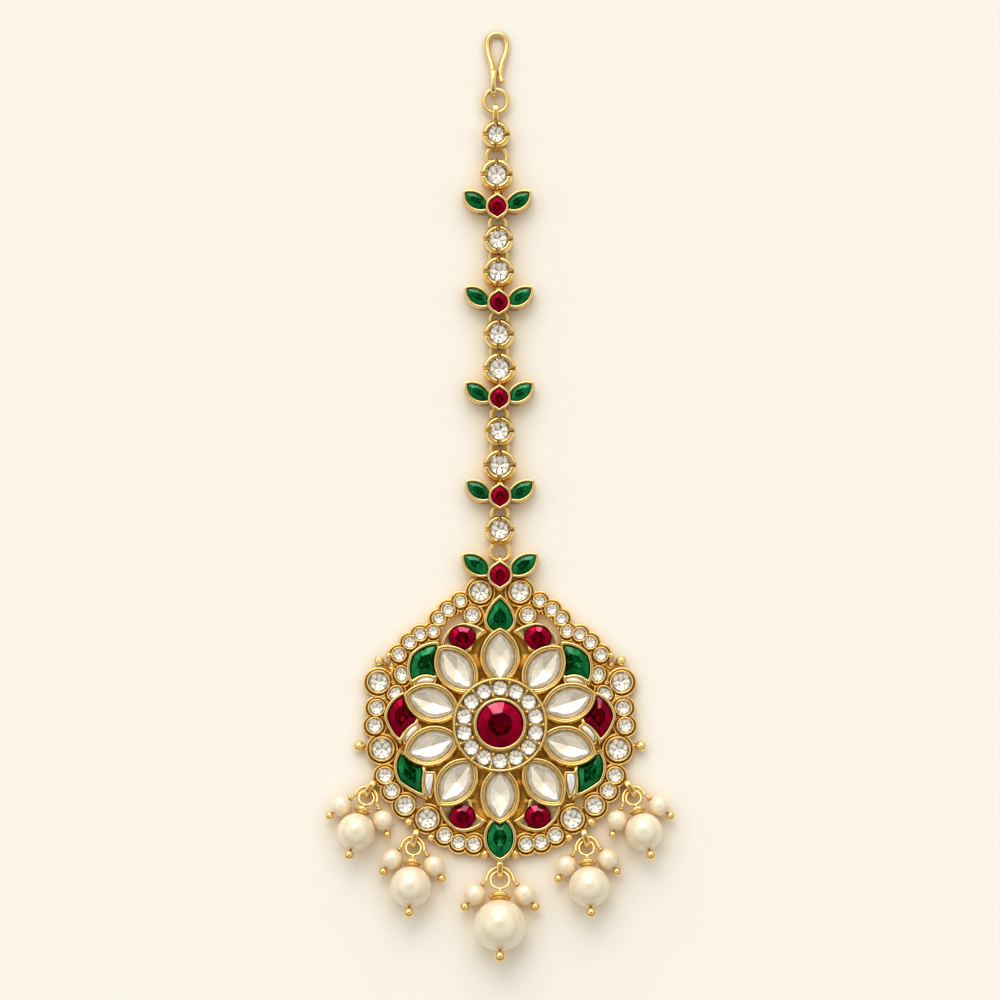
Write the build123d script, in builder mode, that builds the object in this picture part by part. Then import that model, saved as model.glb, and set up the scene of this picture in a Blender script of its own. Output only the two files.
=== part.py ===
from build123d import *
from collections import namedtuple
from math import asin, atan2, cos, degrees, hypot, pi, radians, sin, sqrt
import os

# A maang tikka lying face up: +Y runs from the medallion up the chain to the hook, +Z is the front.
# The origin is the middle of the medallion's flat back. All sizes are in millimetres.

# ---- heights above the flat back ----
PLATE = 0.9  # pierced back plate
COLLAR_TOP = 1.2  # floor of the scalloped border round the rim stones
LIP_TOP = 1.6  # raised lip along that border
RIM_TOP = 2.2  # collets of the small clear stones
CELL_TOP = 2.4  # outer petals that hold rubies and emeralds
POINT_TOP = 2.7  # bezels of the emeralds at the top and bottom
PETAL_TOP = 3.1  # the ten pointed petals
HALO_FLOOR = 3.15
HALO_TOP = 3.6
CENTRE_TOP = 4.2
LINK_TOP = 2.9  # round settings and leaves of the chain
HEART_TOP = 3.1  # pointed oval in the middle of each trefoil
RING_Z = 1.2  # level of every ring's wire

# ---- walls and clearances ----
BEZEL = 0.42
RIM_BEZEL = 0.34
POINT_BEZEL = 0.52
LIP = 0.3
PETAL_STEP = 0.38  # the petals' rim has an outer and a lower inner step
PETAL_BEZEL = 0.72
CELL_WALL = 0.6
CELL_LIP = 0.5
GAP = 0.07  # between a stone and its seat
PETAL_MARGIN = 0.15  # metal between a stone and the pointed petal beside it

# ---- depths under the metal round them ----
PETAL_HOLLOW = 0.3
CELL_HOLLOW = 0.35
PETAL_SEAT = 1.3
RIM_SEAT = 1.0
CELL_SEAT = 1.0
POINT_SEAT = 1.2
HALO_SEAT = 0.7
CENTRE_SEAT = 1.5

# ---- cut stones: girdle and crown heights, table's size against the girdle's, and facet pitch ----
Cut = namedtuple("Cut", "girdle crown table pitch")
CHAIN_CUT = Cut(0.55, 0.65, 0.56, 0.8)
HEART_CUT = Cut(0.8, 0.55, 0.56, 1.0)
LEAF_CUT = Cut(0.65, 0.5, 0.56, 0.9)
CENTRE_CUT = Cut(1.2, 0.7, 0.53, 1.5)
HALO_CUT = Cut(0.75, 0.4, 0.56, 0.6)
RIM_CUT = Cut(0.6, 0.45, 0.56, 0.7)
PETAL_CUT = Cut(0.85, 0.45, 0.62, 1.6)
CELL_CUT = Cut(0.6, 0.5, 0.5, 1.2)
POINT_CUT = Cut(0.8, 0.55, 0.5, 1.2)
FEWEST_FACETS = 8

# ---- chain ----
Link = namedtuple("Link", "x y collet stone")
Trefoil = namedtuple("Trefoil", "x y size lift")  # the leaves stand above the middle by the lift
Ring = namedtuple("Ring", "x y outer wire")

ROUND_LINKS = [
    Link(-0.65, 98.28, 2.3, 1.47),
    Link(-0.27, 80.52, 2.46, 1.63),
    Link(-0.18, 64.58, 2.55, 1.68),
    Link(-0.08, 48.38, 2.47, 1.63),
    Link(-0.05, 31.88, 2.42, 1.63),
]
LEAF_LINKS = [
    (Link(-0.57, 91.5, 2.7, 1.75), Trefoil(-0.47, 86.05, 1.0, 0)),
    (Link(-0.25, 75.08, 2.6, 1.72), Trefoil(-0.2, 69.88, 1.0, 0)),
    (Link(-0.13, 58.8, 2.7, 1.77), Trefoil(-0.12, 53.83, 1.0, 0)),
    (Link(-0.05, 42.63, 2.72, 1.75), Trefoil(0.0, 37.44, 1.0, 0)),
]
CREST = Trefoil(0.0, 24.34, 1.1, 0.65)
CREST_NECK = (2.6, 4.0)  # plate that carries the crest
CHAIN_RINGS = [
    Ring(-0.6, 94.75, 2.1, 0.8),
    Ring(-0.37, 83.4, 1.72, 0.72),
    Ring(-0.26, 77.85, 1.72, 0.72),
    Ring(-0.19, 67.4, 1.72, 0.72),
    Ring(-0.15, 61.75, 1.72, 0.72),
    Ring(-0.1, 51.23, 1.72, 0.72),
    Ring(-0.06, 45.63, 1.72, 0.72),
    Ring(-0.02, 34.77, 1.72, 0.72),
    Ring(0.0, 28.5, 1.98, 0.76),
]
HOOK_RING = Ring(-0.73, 104.2, 2.4, 0.83)
RING_ROOM = 0.12  # clearance round a ring's wire
LUG_WALL = 0.36
LUG_HALF_WIDTH = 0.32
LINK_SEAT = 1.85  # floor under the chain's stones
LINK_FOOT = 0.96  # a round cup's foot against its rim
LINK_BELLY = 1.7  # height at which the cup reaches its full width
LINK_CHAMFER = 0.25
PRONG = 0.55
PRONG_HEIGHT = 0.46
PRONG_LAP = 0.1  # over the stone's edge
PRONG_PROUD = 0.31  # above the rim
JOINT = (1.6, 2.0)  # bar between a round cup and the trefoil under it
JOINT_BEAD = 0.52
TOP_BAIL = (3.9, 2.2, 0.5, 0.5)  # length, height, wall and half width of the chain's end bail
TOP_BAIL_DROP = 0.4
ROUNDING = 0.46  # of a loop's wall

HEART_LENGTH = 4.6
HEART_WIDTH = 3.8
LEAF_TIP = (5.68, 2.65)
LEAF_TOP = ((3.7, 2.75), (1.5, 1.1))  # upper edge, from the tip to under the middle setting
LEAF_BELLY = ((1.3, -0.57), (4.8, -0.1))  # lower edge, back to the tip

# ---- hook ----
HOOK_WIRE = 1.0
HOOK_NECK = (-1.25, 108.7)
HOOK_TOP_CENTRE = (-0.52, 114.2)
HOOK_TOP_RADIUS = 1.62
HOOK_LEG_END = (0.02, 108.7)
HOOK_TIP = (0.3, 107.6)
HOOK_DROOP = 5.6  # degrees that the hook leans down to the surface it lies on
HOOK_EYE_SIDE = 0.12  # the eye stands this far to the right of the neck
HOOK_EYE_END = 104.8
HOOK_EYE_WALL = 0.66

# ---- medallion ----
FLOWER = (0, -0.42)  # middle of the ruby, the halo and the pointed petals
RUBY_RADIUS = 3.77
CENTRE_BEZEL = 4.3
HALO_RADIUS = 6.0
HALO_STONE = 1.15
HALO_STONES = 14
HALO_OUTER = 7.75
HALO_LIP = 0.38
PETAL_LENGTH = 9.5
PETAL_WIDTH = 6.47
Petal = namedtuple("Petal", "angle tip")  # angle from +Y towards +X, and the tip's distance
PETALS = [
    Petal(0, 16.05),
    Petal(38, 16.4),
    Petal(72, 16.55),
    Petal(107, 16.5),
    Petal(142.6, 16.6),
    Petal(180, 16.25),
    Petal(-142.6, 16.6),
    Petal(-107, 16.5),
    Petal(-72, 16.55),
    Petal(-38, 16.4),
]

# Outer petals on the right half: an outer edge of two arcs, an inner edge, and a root hidden under
# the pointed petals.
Cell = namedtuple("Cell", "start shoulder crown flank tip hollow end root")
CELLS = {
    "upper_ruby": Cell(
        (9.75, 12.45), (8.75, 15.0), (5.9, 16.5), (4.05, 16.1),
        (2.1, 15.0), (4.05, 13.5), (4.73, 11.95), (7.0, 10.5),
    ),
    "upper_emerald": Cell(
        (10.1, 13.4), (12.7, 12.9), (14.8, 11.3), (15.3, 9.0),
        (14.55, 6.05), (12.37, 7.47), (10.75, 7.1), (8.9, 8.6),
    ),
    "side_ruby": Cell(
        (15.8, 5.1), (18.05, 3.5), (19.05, 1.0), (18.3, -1.0),
        (16.25, -3.45), (15.3, -1.64), (13.66, -0.32), (12.4, 2.0),
    ),
    "lower_emerald": Cell(
        (16.5, -4.4), (17.4, -7.0), (16.6, -9.9), (14.6, -11.25),
        (11.8, -12.55), (12.35, -10.0), (12.15, -8.2), (12.3, -6.5),
    ),
    "lower_ruby": Cell(
        (9.9, -13.8), (8.95, -16.2), (6.3, -17.9), (4.2, -17.5),
        (2.2, -16.0), (4.1, -14.6), (4.7, -12.75), (7.2, -11.2),
    ),
}
Gem = namedtuple("Gem", "x y half_width half_height")
ROUND_RUBIES = {"upper_ruby": Gem(6.2, 14.1, 2.25, 2.0), "lower_ruby": Gem(6.15, -15.35, 2.15, 2.0)}
# Crescents between an outer petal and the pointed petals: tip, middle of the outer edge, the two
# blunt corners, and the middle of the inner edge.
Crescent = namedtuple("Crescent", "start crest end inner hollow")
CRESCENTS = {
    "upper_emerald": Crescent((14.0, 6.1), (12.37, 7.47), (10.71, 7.08), (11.1, 6.4), (12.5, 6.3)),
    "side_ruby": Crescent((15.5, -3.3), (15.3, -1.64), (13.66, -0.32), (13.16, -0.73), (14.28, -2.12)),
    "lower_emerald": Crescent((11.45, -12.1), (12.35, -10.0), (12.15, -8.3), (10.85, -8.3), (11.0, -10.3)),
}
CRESCENT_RIB = 0.32  # gold wall round a crescent
CRESCENT_TOP = 2.55

TOP_PEAR = ((0, 21.15), (1.75, 19.35), (2.68, 17.1))  # tip, side and widest point of the pear bezel
TOP_PEAR_BOTTOM = 14.4
BOTTOM_POINT = (0, -18.95)
BOTTOM_POINT_LENGTH = 7.7
BOTTOM_POINT_WIDTH = 5.4

# Clear stones of the rim, right half, from the crest down to the bottom emerald.
Round = namedtuple("Round", "x y radius")
RIM = [
    Round(3.27, 21.68, 1.62),
    Round(6.52, 20.15, 0.85),
    Round(8.52, 18.75, 0.9),
    Round(10.05, 17.25, 0.88),
    Round(11.0, 15.15, 0.83),
    Round(13.12, 14.63, 0.9),
    Round(14.85, 13.3, 0.9),
    Round(16.6, 11.3, 0.96),
    Round(19.95, 6.75, 1.6),
    Round(20.25, 2.52, 1.12),
    Round(20.55, -0.42, 1.12),
    Round(19.37, -4.28, 1.74),
    Round(18.83, -8.63, 1.15),
    Round(17.73, -11.12, 1.08),
    Round(15.52, -13.54, 1.38),
    Round(11.87, -15.72, 1.68),
    Round(9.05, -18.45, 1.06),
    Round(6.73, -19.6, 1.02),
    Round(4.27, -19.87, 1.08),
]
INNER_ROUND = Round(4.57, 17.8, 1.12)
Oval = namedtuple("Oval", "x y long short angle")
INNER_OVALS = [Oval(16.15, 8.0, 1.2, 0.9, 80), Oval(17.25, 4.97, 1.12, 0.78, 140)]
BORDER = 0.9  # border beyond each rim stone

Ball = namedtuple("Ball", "x y radius")
BALLS = [
    Ball(18.25, 11.2, 0.58),
    Ball(19.95, 10.3, 0.88),
    Ball(18.02, 9.45, 0.8),
    Ball(23.15, -3.75, 0.88),
    Ball(14.95, -16.25, 0.8),
    Ball(11.3, -18.75, 0.7),
    Ball(2.38, -21.45, 0.8),
]
BALL_Z = 1.3
BALL_STEM = 0.32
BALL_REACH = 1.2  # of a ball's stem, from the ball inward

# Pierced places, right half: a crescent inside the upper rim and a small hole in the lower rim.
UPPER_PIERCING = ((10.2, 13.9), (9.1, 16.9), (5.6, 18.0), (5.6, 15.8), (8.9, 12.8))
LOWER_PIERCING = Round(13.2, -12.9, 0.95)
PIERCING_MARGIN = 0.1

# ---- drops ----
# lean is outward from -Y in degrees; ring, arch and wires are wire centre radii; pearl_at is the
# distance from the ring's centre to the pearl's; side_x, side_y and inward place the small pearls.
Drop = namedtuple(
    "Drop",
    "x y lean arch_lean bail_lean ring arch pearl_at pearl cap ball side_x side_y inward side bead",
)
RIGHT_DROPS = [
    Drop(21.9, -12.35, 16.0, 19.0, 34.0, 1.22, 1.85, 6.09, 3.1, 1.4, 0.83, 3.6, 2.6, 0.2, 1.72, 0.68),
    Drop(14.15, -20.6, 3.75, 8.9, 17.0, 1.22, 1.9, 6.66, 3.38, 1.5, 0.87, 3.45, 2.3, 0.4, 1.73, 0.7),
]
MIDDLE_DROP = Drop(0, -25.85, 0, 0, 0, 1.52, 2.23, 7.95, 4.25, 1.85, 0.95, 4.08, 2.3, 0, 1.8, 0.77)
RING_WIRE = 0.22
ARCH_WIRE = 0.29
PIN = 0.22
BORE = 0.3
CAP_THICKNESS = 0.7
CAP_RISE = 0.4  # foot of the cap above the pearl's top
CAP_PLUG = 0.35  # narrower part of the cap that reaches down to the pearl
CAP_PLUG_WIDTH = 0.7  # against the cap's
CAP_BEAD = 0.4
TAIL = 0.2  # pin between a pearl and the ball under it
COLLAR = (0.52, 0.35, 0.12)  # radius and thickness of a small pearl's collar, and its clearance
ARCH_END = 0.04  # the arch's ends are thicker than its wire
BAIL_WALL = 0.6
BAIL_HEIGHT = 2.3
BAIL_HALF_WIDTH = 0.52
BAIL_INWARD = 1.9
BAIL_OUTWARD = 1.55


# ---------------------------------------------------------------- outlines
def pointed_oval(length, width, inset=0.0):
    """Outline of two arcs that meet in points on the Y axis, drawn inside itself by the inset."""
    radius = (length**2 + width**2) / (4 * width)
    half_width = width / 2 - inset
    half_length = sqrt((radius - inset) ** 2 - (radius - width / 2) ** 2)
    with BuildSketch(mode=Mode.PRIVATE) as outline:
        with BuildLine():
            ThreePointArc((0, -half_length), (half_width, 0), (0, half_length))
            ThreePointArc((0, half_length), (-half_width, 0), (0, -half_length))
        make_face()
    return outline.sketch


def petal_outline(petal, inset=0.0):
    """One of the ten pointed petals, lying along its radius."""
    distance = petal.tip - PETAL_LENGTH / 2
    place = Pos(*FLOWER) * Rot(0, 0, -petal.angle) * Pos(0, distance)
    return place * pointed_oval(PETAL_LENGTH, PETAL_WIDTH, inset)


def cell_outline(cell, inset=0.0):
    """An outer petal of the right half, before the pointed petals cover its root."""
    with BuildSketch(mode=Mode.PRIVATE) as outline:
        with BuildLine():
            ThreePointArc(cell.start, cell.shoulder, cell.crown)
            ThreePointArc(cell.crown, cell.flank, cell.tip)
            ThreePointArc(cell.tip, cell.hollow, cell.end)
            Line(cell.end, cell.root)
            Line(cell.root, cell.start)
        make_face()
        if inset:
            offset(amount=-inset, kind=Kind.INTERSECTION)
    return outline.sketch


def pear_outline(inset=0.0):
    """The pear bezel at the top: two arcs from the tip and a round bottom."""
    tip, side, widest = TOP_PEAR
    with BuildSketch(mode=Mode.PRIVATE) as outline:
        with BuildLine():
            ThreePointArc(tip, side, widest)
            ThreePointArc(widest, (0, TOP_PEAR_BOTTOM), (-widest[0], widest[1]))
            ThreePointArc((-widest[0], widest[1]), (-side[0], side[1]), tip)
        make_face()
        if inset:
            offset(amount=-inset, kind=Kind.INTERSECTION)
    return outline.sketch


def bottom_outline(inset=0.0):
    """The pointed oval bezel at the bottom."""
    return Pos(*BOTTOM_POINT) * pointed_oval(BOTTOM_POINT_LENGTH, BOTTOM_POINT_WIDTH, inset)


def crescent_outline(crescent, grow=0.0):
    """A crescent of white enamel between an outer petal and the pointed petals."""
    with BuildSketch(mode=Mode.PRIVATE) as outline:
        with BuildLine():
            ThreePointArc(crescent.start, crescent.crest, crescent.end)
            Line(crescent.end, crescent.inner)
            ThreePointArc(crescent.inner, crescent.hollow, crescent.start)
        make_face()
        if grow:
            offset(amount=grow)
        for petal in PETALS:
            add(petal_outline(petal, -GAP if not grow else 0), mode=Mode.SUBTRACT)
    return outline.sketch


def heart_outline(trefoil, inset=0.0):
    """The setting in the middle of a trefoil: a circle drawn out to a point above and below."""
    radius = HEART_WIDTH / 2 * trefoil.size - inset
    tip = radius * HEART_LENGTH / HEART_WIDTH
    height = radius**2 / tip
    side = sqrt(radius**2 - height**2)
    with BuildSketch(mode=Mode.PRIVATE) as outline:
        with BuildLine():
            Polyline((-side, height), (0, tip), (side, height))
            ThreePointArc((side, height), (radius, 0), (side, -height))
            Polyline((side, -height), (0, -tip), (-side, -height))
            ThreePointArc((-side, -height), (-radius, 0), (-side, height))
        make_face()
    return Pos(trefoil.x, trefoil.y) * outline.sketch


def leaf_outline(trefoil, side, inset=0.0):
    """One leaf of a trefoil; a stone's outline (with an inset) stops at the middle setting."""
    over, under = LEAF_TOP, LEAF_BELLY
    size = trefoil.size

    def at(point):
        return (trefoil.x + side * size * point[0], trefoil.y + trefoil.lift + size * point[1])

    with BuildSketch(mode=Mode.PRIVATE) as outline:
        with BuildLine():
            ThreePointArc(at(LEAF_TIP), at(over[0]), at(over[1]))
            Line(at(over[1]), at(under[0]))
            ThreePointArc(at(under[0]), at(under[1]), at(LEAF_TIP))
        make_face()
        if inset:
            offset(amount=-inset, kind=Kind.INTERSECTION)
            add(heart_outline(trefoil, -(inset - BEZEL)), mode=Mode.SUBTRACT)
    return outline.sketch


def cell_stone_outline(name, clearance):
    """The stone of an outer petal: an oval ruby, or all the room that the petals and crescent leave."""
    with BuildSketch(mode=Mode.PRIVATE) as outline:
        if name in ROUND_RUBIES:
            gem = ROUND_RUBIES[name]
            with Locations((gem.x, gem.y)):
                Ellipse(gem.half_width - clearance, gem.half_height - clearance)
        else:
            add(cell_outline(CELLS[name], CELL_WALL + clearance))
            add(crescent_outline(CRESCENTS[name], CRESCENT_RIB + clearance), mode=Mode.SUBTRACT)
        for petal in PETALS:
            add(petal_outline(petal, -PETAL_MARGIN - clearance), mode=Mode.SUBTRACT)
    return biggest(outline.sketch)


# ---------------------------------------------------------------- stones
def corners_of(face, pitch):
    """Corner points for facets, taken along a face's outline about a pitch apart."""
    points = []
    for edge in face.outer_wire().edges():
        steps = max(1, round(edge.length / pitch))
        points += [edge @ (step / steps) for step in range(steps + 1)]
    middle = face.center()
    points.sort(key=lambda point: atan2(point.Y - middle.Y, point.X - middle.X))
    spaced = [points[0]]
    for point in points[1:]:
        if (point - spaced[-1]).length > pitch / 4 and (point - points[0]).length > pitch / 4:
            spaced.append(point)
    return [Vector(point.X, point.Y) for point in spaced]


def ring_of_corners(x, y, half_width, half_height, pitch, turn=0.0):
    """Corner points for facets on an ellipse, about a pitch apart."""
    facets = max(FEWEST_FACETS, round(pi * (half_width + half_height) / pitch))
    swing = Rot(0, 0, turn)
    points = []
    for number in range(facets):
        angle = radians(360 * (number + 0.5) / facets)
        spot = Pos(x, y) * swing * Pos(half_width * cos(angle), half_height * sin(angle))
        points.append(spot.position)
    return points


def cut_stone(corners, base, cut):
    """Add a cut stone: a flat back, an upright girdle, a facet for each corner pair and a flat table."""
    middle = sum(corners, Vector()) / len(corners)
    sections = []
    for height, size in ((0, 1), (cut.girdle, 1), (cut.girdle + cut.crown, cut.table)):
        with BuildSketch(Plane.XY.offset(base + height)) as section:
            with BuildLine():
                Polyline(*[middle + (corner - middle) * size for corner in corners], close=True)
            make_face()
        sections.append(section.sketch)
    loft(sections, ruled=True)


def biggest(outline):
    return outline.faces().sort_by(SortBy.AREA)[-1]


def finish(part, name):
    part.label = name
    export_step(part, f"parts/{name}.step")


# ---------------------------------------------------------------- rings, lugs and rods
def strip(plane, outer, hole, half_width, rounding):
    """A band extruded both ways from its plane between two outlines, its four edges rounded."""
    with BuildPart(mode=Mode.PRIVATE) as band:
        with BuildSketch(plane):
            add(outer)
            add(hole, mode=Mode.SUBTRACT)
        extrude(amount=half_width, both=True)
        ends = band.edges().group_by(Axis(plane.origin, plane.z_dir))
        fillet(ends[0] + ends[-1], rounding)
    return band.part


def slot(length, height):
    with BuildSketch(mode=Mode.PRIVATE) as outline:
        SlotOverall(length, height)
    return outline.sketch


def bail(centre, outward, length, height, wall, half_width):
    """A long loop that stands on edge, its length along the outward direction."""
    across = Vector(*outward).cross(Vector(0, 0, 1))
    plane = Plane(origin=centre, x_dir=outward, z_dir=across)
    hole = slot(length - 2 * wall, height - 2 * wall)
    return strip(plane, slot(length, height), hole, half_width, wall * ROUNDING)


def lug(ring, side):
    """A small loop on edge round a ring's wire, at its top (side 1) or bottom (side -1)."""
    reach = ring.outer - ring.wire / 2
    inner = ring.wire / 2 + RING_ROOM
    plane = Plane(origin=(ring.x, ring.y + side * reach, RING_Z), x_dir=(0, 1, 0), z_dir=(1, 0, 0))
    round_outline, round_hole = Sketch() + Circle(inner + LUG_WALL), Sketch() + Circle(inner)
    return strip(plane, round_outline, round_hole, LUG_HALF_WIDTH, LUG_WALL * ROUNDING)


def lugs_of(link, rings):
    """The lugs by which a setting hangs in the rings next to it."""
    return [lug(ring, 1 if ring.y < link.y else -1) for ring in rings]


def ring_pocket(ring):
    """Cut the room that a ring needs under a setting."""
    with BuildSketch() as room:
        with Locations((ring.x, ring.y)):
            Circle(ring.outer + RING_ROOM)
    extrude(room.sketch, amount=RING_Z + ring.wire / 2 + RING_ROOM, mode=Mode.SUBTRACT)


def rod(start, end, radius, mode=Mode.ADD):
    """Add or cut a straight round rod between two points of the part's plane."""
    start, end = Vector(*start), Vector(*end)
    with Locations(Plane(origin=(start + end) / 2, z_dir=end - start).location):
        Cylinder(radius, (end - start).length, mode=mode)


def rounded_disc(start, end, radius):
    """Add a disc between two points on its axis, with a round edge."""
    start, end = Vector(*start), Vector(*end)
    thickness = (end - start).length
    rod(start, end, radius - thickness / 2)
    with Locations(Plane(origin=(start + end) / 2, z_dir=end - start).location):
        Torus(radius - thickness / 2, thickness / 2)


# ---------------------------------------------------------------- chain settings
def round_body(link):
    """Add a round cup that flares to its rim."""
    rim = link.x + link.collet
    with BuildSketch(Plane.XZ.offset(-link.y)) as half:
        with BuildLine():
            Polyline(
                (link.x, 0), (link.x + link.collet * LINK_FOOT, 0), (rim, LINK_BELLY),
                (rim, LINK_TOP - LINK_CHAMFER), (rim - LINK_CHAMFER, LINK_TOP), (link.x, LINK_TOP),
                close=True,
            )
        make_face()
    revolve(half.sketch, axis=Axis((link.x, link.y, 0), (0, 0, 1)))


def round_seat(link):
    """Cut the seat of a round stone and set four prongs over its edge."""
    with BuildSketch(Plane.XY.offset(LINK_TOP)) as seat:
        with Locations((link.x, link.y)):
            Circle(link.stone + GAP)
    extrude(seat.sketch, amount=LINK_SEAT - LINK_TOP, mode=Mode.SUBTRACT)
    reach = link.collet - link.stone + PRONG_LAP
    middle = (link.collet + link.stone) / 2 - PRONG_LAP
    with Locations((link.x, link.y, LINK_TOP + PRONG_PROUD - PRONG_HEIGHT / 2)):
        with PolarLocations(middle, 4):
            Box(reach, PRONG, PRONG_HEIGHT)


def trefoil_body(trefoil):
    """Add the two leaves and the pointed oval between them."""
    for side in (-1, 1):
        extrude(leaf_outline(trefoil, side), amount=LINK_TOP)
    extrude(heart_outline(trefoil), amount=HEART_TOP)


def trefoil_seats(trefoil):
    """Cut the three seats of a trefoil."""
    for side in (-1, 1):
        leaf_seat = Pos(0, 0, LINK_SEAT) * leaf_outline(trefoil, side, BEZEL)
        extrude(leaf_seat, amount=HEART_TOP - LINK_SEAT, mode=Mode.SUBTRACT)
    heart_seat = Pos(0, 0, LINK_SEAT) * heart_outline(trefoil, BEZEL)
    extrude(heart_seat, amount=HEART_TOP - LINK_SEAT, mode=Mode.SUBTRACT)


os.makedirs("parts", exist_ok=True)

for number, link in enumerate(ROUND_LINKS, start=1):
    near = [ring for ring in CHAIN_RINGS if abs(ring.y - link.y) < 5]
    loops = lugs_of(link, near)
    if number == 1:
        bail_y = HOOK_RING.y - HOOK_RING.outer + HOOK_RING.wire / 2 - TOP_BAIL_DROP
        loops.append(bail((HOOK_RING.x, bail_y, RING_Z), (0, 1, 0), *TOP_BAIL))
    with BuildPart() as round_link:
        round_body(link)
        for ring in near:
            ring_pocket(ring)
        add(loops)
        round_seat(link)
    finish(round_link.part, f"round_link_{number}")

for number, (link, trefoil) in enumerate(LEAF_LINKS, start=1):
    near = [ring for ring in CHAIN_RINGS if trefoil.y - 4 < ring.y < link.y + 4]
    loops = lugs_of(link, near)
    with BuildPart() as leaf_link:
        round_body(link)
        trefoil_body(trefoil)
        joint_y = (link.y - link.collet + trefoil.y + HEART_LENGTH / 2) / 2
        with Locations((trefoil.x, joint_y, LINK_SEAT / 2)):
            Box(*JOINT, LINK_SEAT)
        with Locations((trefoil.x, joint_y, LINK_SEAT)):
            Sphere(JOINT_BEAD)
        for ring in near:
            ring_pocket(ring)
        add(loops)
        round_seat(link)
        trefoil_seats(trefoil)
    finish(leaf_link.part, f"leaf_link_{number}")

with BuildPart() as chain_rings:
    for ring in CHAIN_RINGS:
        with Locations((ring.x, ring.y, RING_Z)):
            Torus(ring.outer - ring.wire / 2, ring.wire / 2)
finish(chain_rings.part, "chain_rings")

with BuildPart() as hook_ring:
    with Locations((HOOK_RING.x, HOOK_RING.y, RING_Z)):
        Torus(HOOK_RING.outer - HOOK_RING.wire / 2, HOOK_RING.wire / 2)
finish(hook_ring.part, "hook_ring")

# ---------------------------------------------------------------- hook
hook_plane = Plane(
    origin=(0, HOOK_NECK[1], RING_Z),
    x_dir=(1, 0, 0),
    z_dir=(0, sin(radians(HOOK_DROOP)), cos(radians(HOOK_DROOP))),
)


def on_hook(x, y):
    """A point of the hook's own plane, whose rows start at the neck."""
    return (x, y - HOOK_NECK[1])


eye_length = HOOK_NECK[1] + HOOK_WIRE - HOOK_EYE_END
eye = bail(
    (HOOK_NECK[0] + HOOK_EYE_SIDE, HOOK_EYE_END + eye_length / 2, RING_Z), (0, 1, 0),
    eye_length, 2 * RING_Z, HOOK_EYE_WALL, HOOK_WIRE / 2,
)

with BuildPart() as hook:
    with BuildLine(hook_plane) as bend:
        left = (HOOK_TOP_CENTRE[0] - HOOK_TOP_RADIUS, HOOK_TOP_CENTRE[1])
        right = (HOOK_TOP_CENTRE[0] + HOOK_TOP_RADIUS, HOOK_TOP_CENTRE[1])
        left_waist = ((HOOK_NECK[0] + left[0]) / 2, (HOOK_NECK[1] + left[1]) / 2)
        right_waist = ((HOOK_LEG_END[0] + right[0]) / 2, (HOOK_LEG_END[1] + right[1]) / 2)
        rise = TangentArc(on_hook(*HOOK_NECK), on_hook(*left_waist), tangent=(0, 1))
        swell = TangentArc(rise @ 1, on_hook(*left), tangent=rise % 1)
        over = TangentArc(swell @ 1, on_hook(*right), tangent=swell % 1)
        fall = TangentArc(over @ 1, on_hook(*right_waist), tangent=over % 1)
        leg = TangentArc(fall @ 1, on_hook(*HOOK_LEG_END), tangent=fall % 1)
        curl = TangentArc(leg @ 1, on_hook(*HOOK_TIP), tangent=leg % 1)
    with BuildSketch(Plane(origin=bend.line @ 0, z_dir=bend.line % 0)):
        Circle(HOOK_WIRE / 2)
    sweep(path=bend.line)
    with Locations(bend.line @ 1):
        Sphere(HOOK_WIRE / 2)
    add(eye)
finish(hook.part, "hook")

# ---------------------------------------------------------------- stones of the chain and crest
with BuildPart() as chain_diamonds:
    for link in sorted(ROUND_LINKS + [pair[0] for pair in LEAF_LINKS], key=lambda item: -item.y):
        corners = ring_of_corners(link.x, link.y, link.stone, link.stone, CHAIN_CUT.pitch)
        cut_stone(corners, LINK_SEAT + GAP, CHAIN_CUT)
finish(chain_diamonds.part, "chain_diamonds")

trefoils = [pair[1] for pair in LEAF_LINKS] + [CREST]
with BuildPart() as chain_rubies:
    for trefoil in trefoils:
        face = heart_outline(trefoil, BEZEL + GAP).face()
        cut_stone(corners_of(face, HEART_CUT.pitch), LINK_SEAT + GAP, HEART_CUT)
finish(chain_rubies.part, "chain_rubies")

with BuildPart() as chain_emeralds:
    for trefoil in trefoils:
        for side in (-1, 1):
            face = biggest(leaf_outline(trefoil, side, BEZEL + GAP))
            cut_stone(corners_of(face, LEAF_CUT.pitch), LINK_SEAT + GAP, LEAF_CUT)
finish(chain_emeralds.part, "chain_emeralds")


# ---------------------------------------------------------------- medallion
def both_sides(items):
    """The right half's places and their mirror images on the left."""
    return [(side, item) for item in items for side in (1, -1)]


def half_mirrored(face):
    """A right-half face and its mirror image."""
    return [face, mirror(face, about=Plane.YZ)]


def all_cells(inset=0.0):
    return [half for cell in CELLS.values() for half in half_mirrored(cell_outline(cell, inset))]


def crescent_cups():
    return [
        half for crescent in CRESCENTS.values()
        for half in half_mirrored(crescent_outline(crescent, CRESCENT_RIB))
    ]


def collets(extra):
    """Draw the circles and ovals of every small clear stone, larger than the stone by a margin."""
    for side, stone in both_sides(RIM + [INNER_ROUND]):
        with Locations((side * stone.x, stone.y)):
            Circle(stone.radius + extra)
    for side, stone in both_sides(INNER_OVALS):
        with Locations(Location((side * stone.x, stone.y, 0), (0, 0, side * stone.angle))):
            Ellipse(stone.long + extra, stone.short + extra)


def drop_plane(hang, lean, rise):
    """A drop's own plane: -Y runs down the drop, which rises from the surface towards its pearl."""
    down = Vector(
        sin(radians(lean)) * cos(radians(rise)), -cos(radians(lean)) * cos(radians(rise)), sin(radians(rise))
    )
    across = Vector(cos(radians(lean)), sin(radians(lean)), 0)
    return Plane(origin=hang, x_dir=across, z_dir=across.cross(down * -1))


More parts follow.
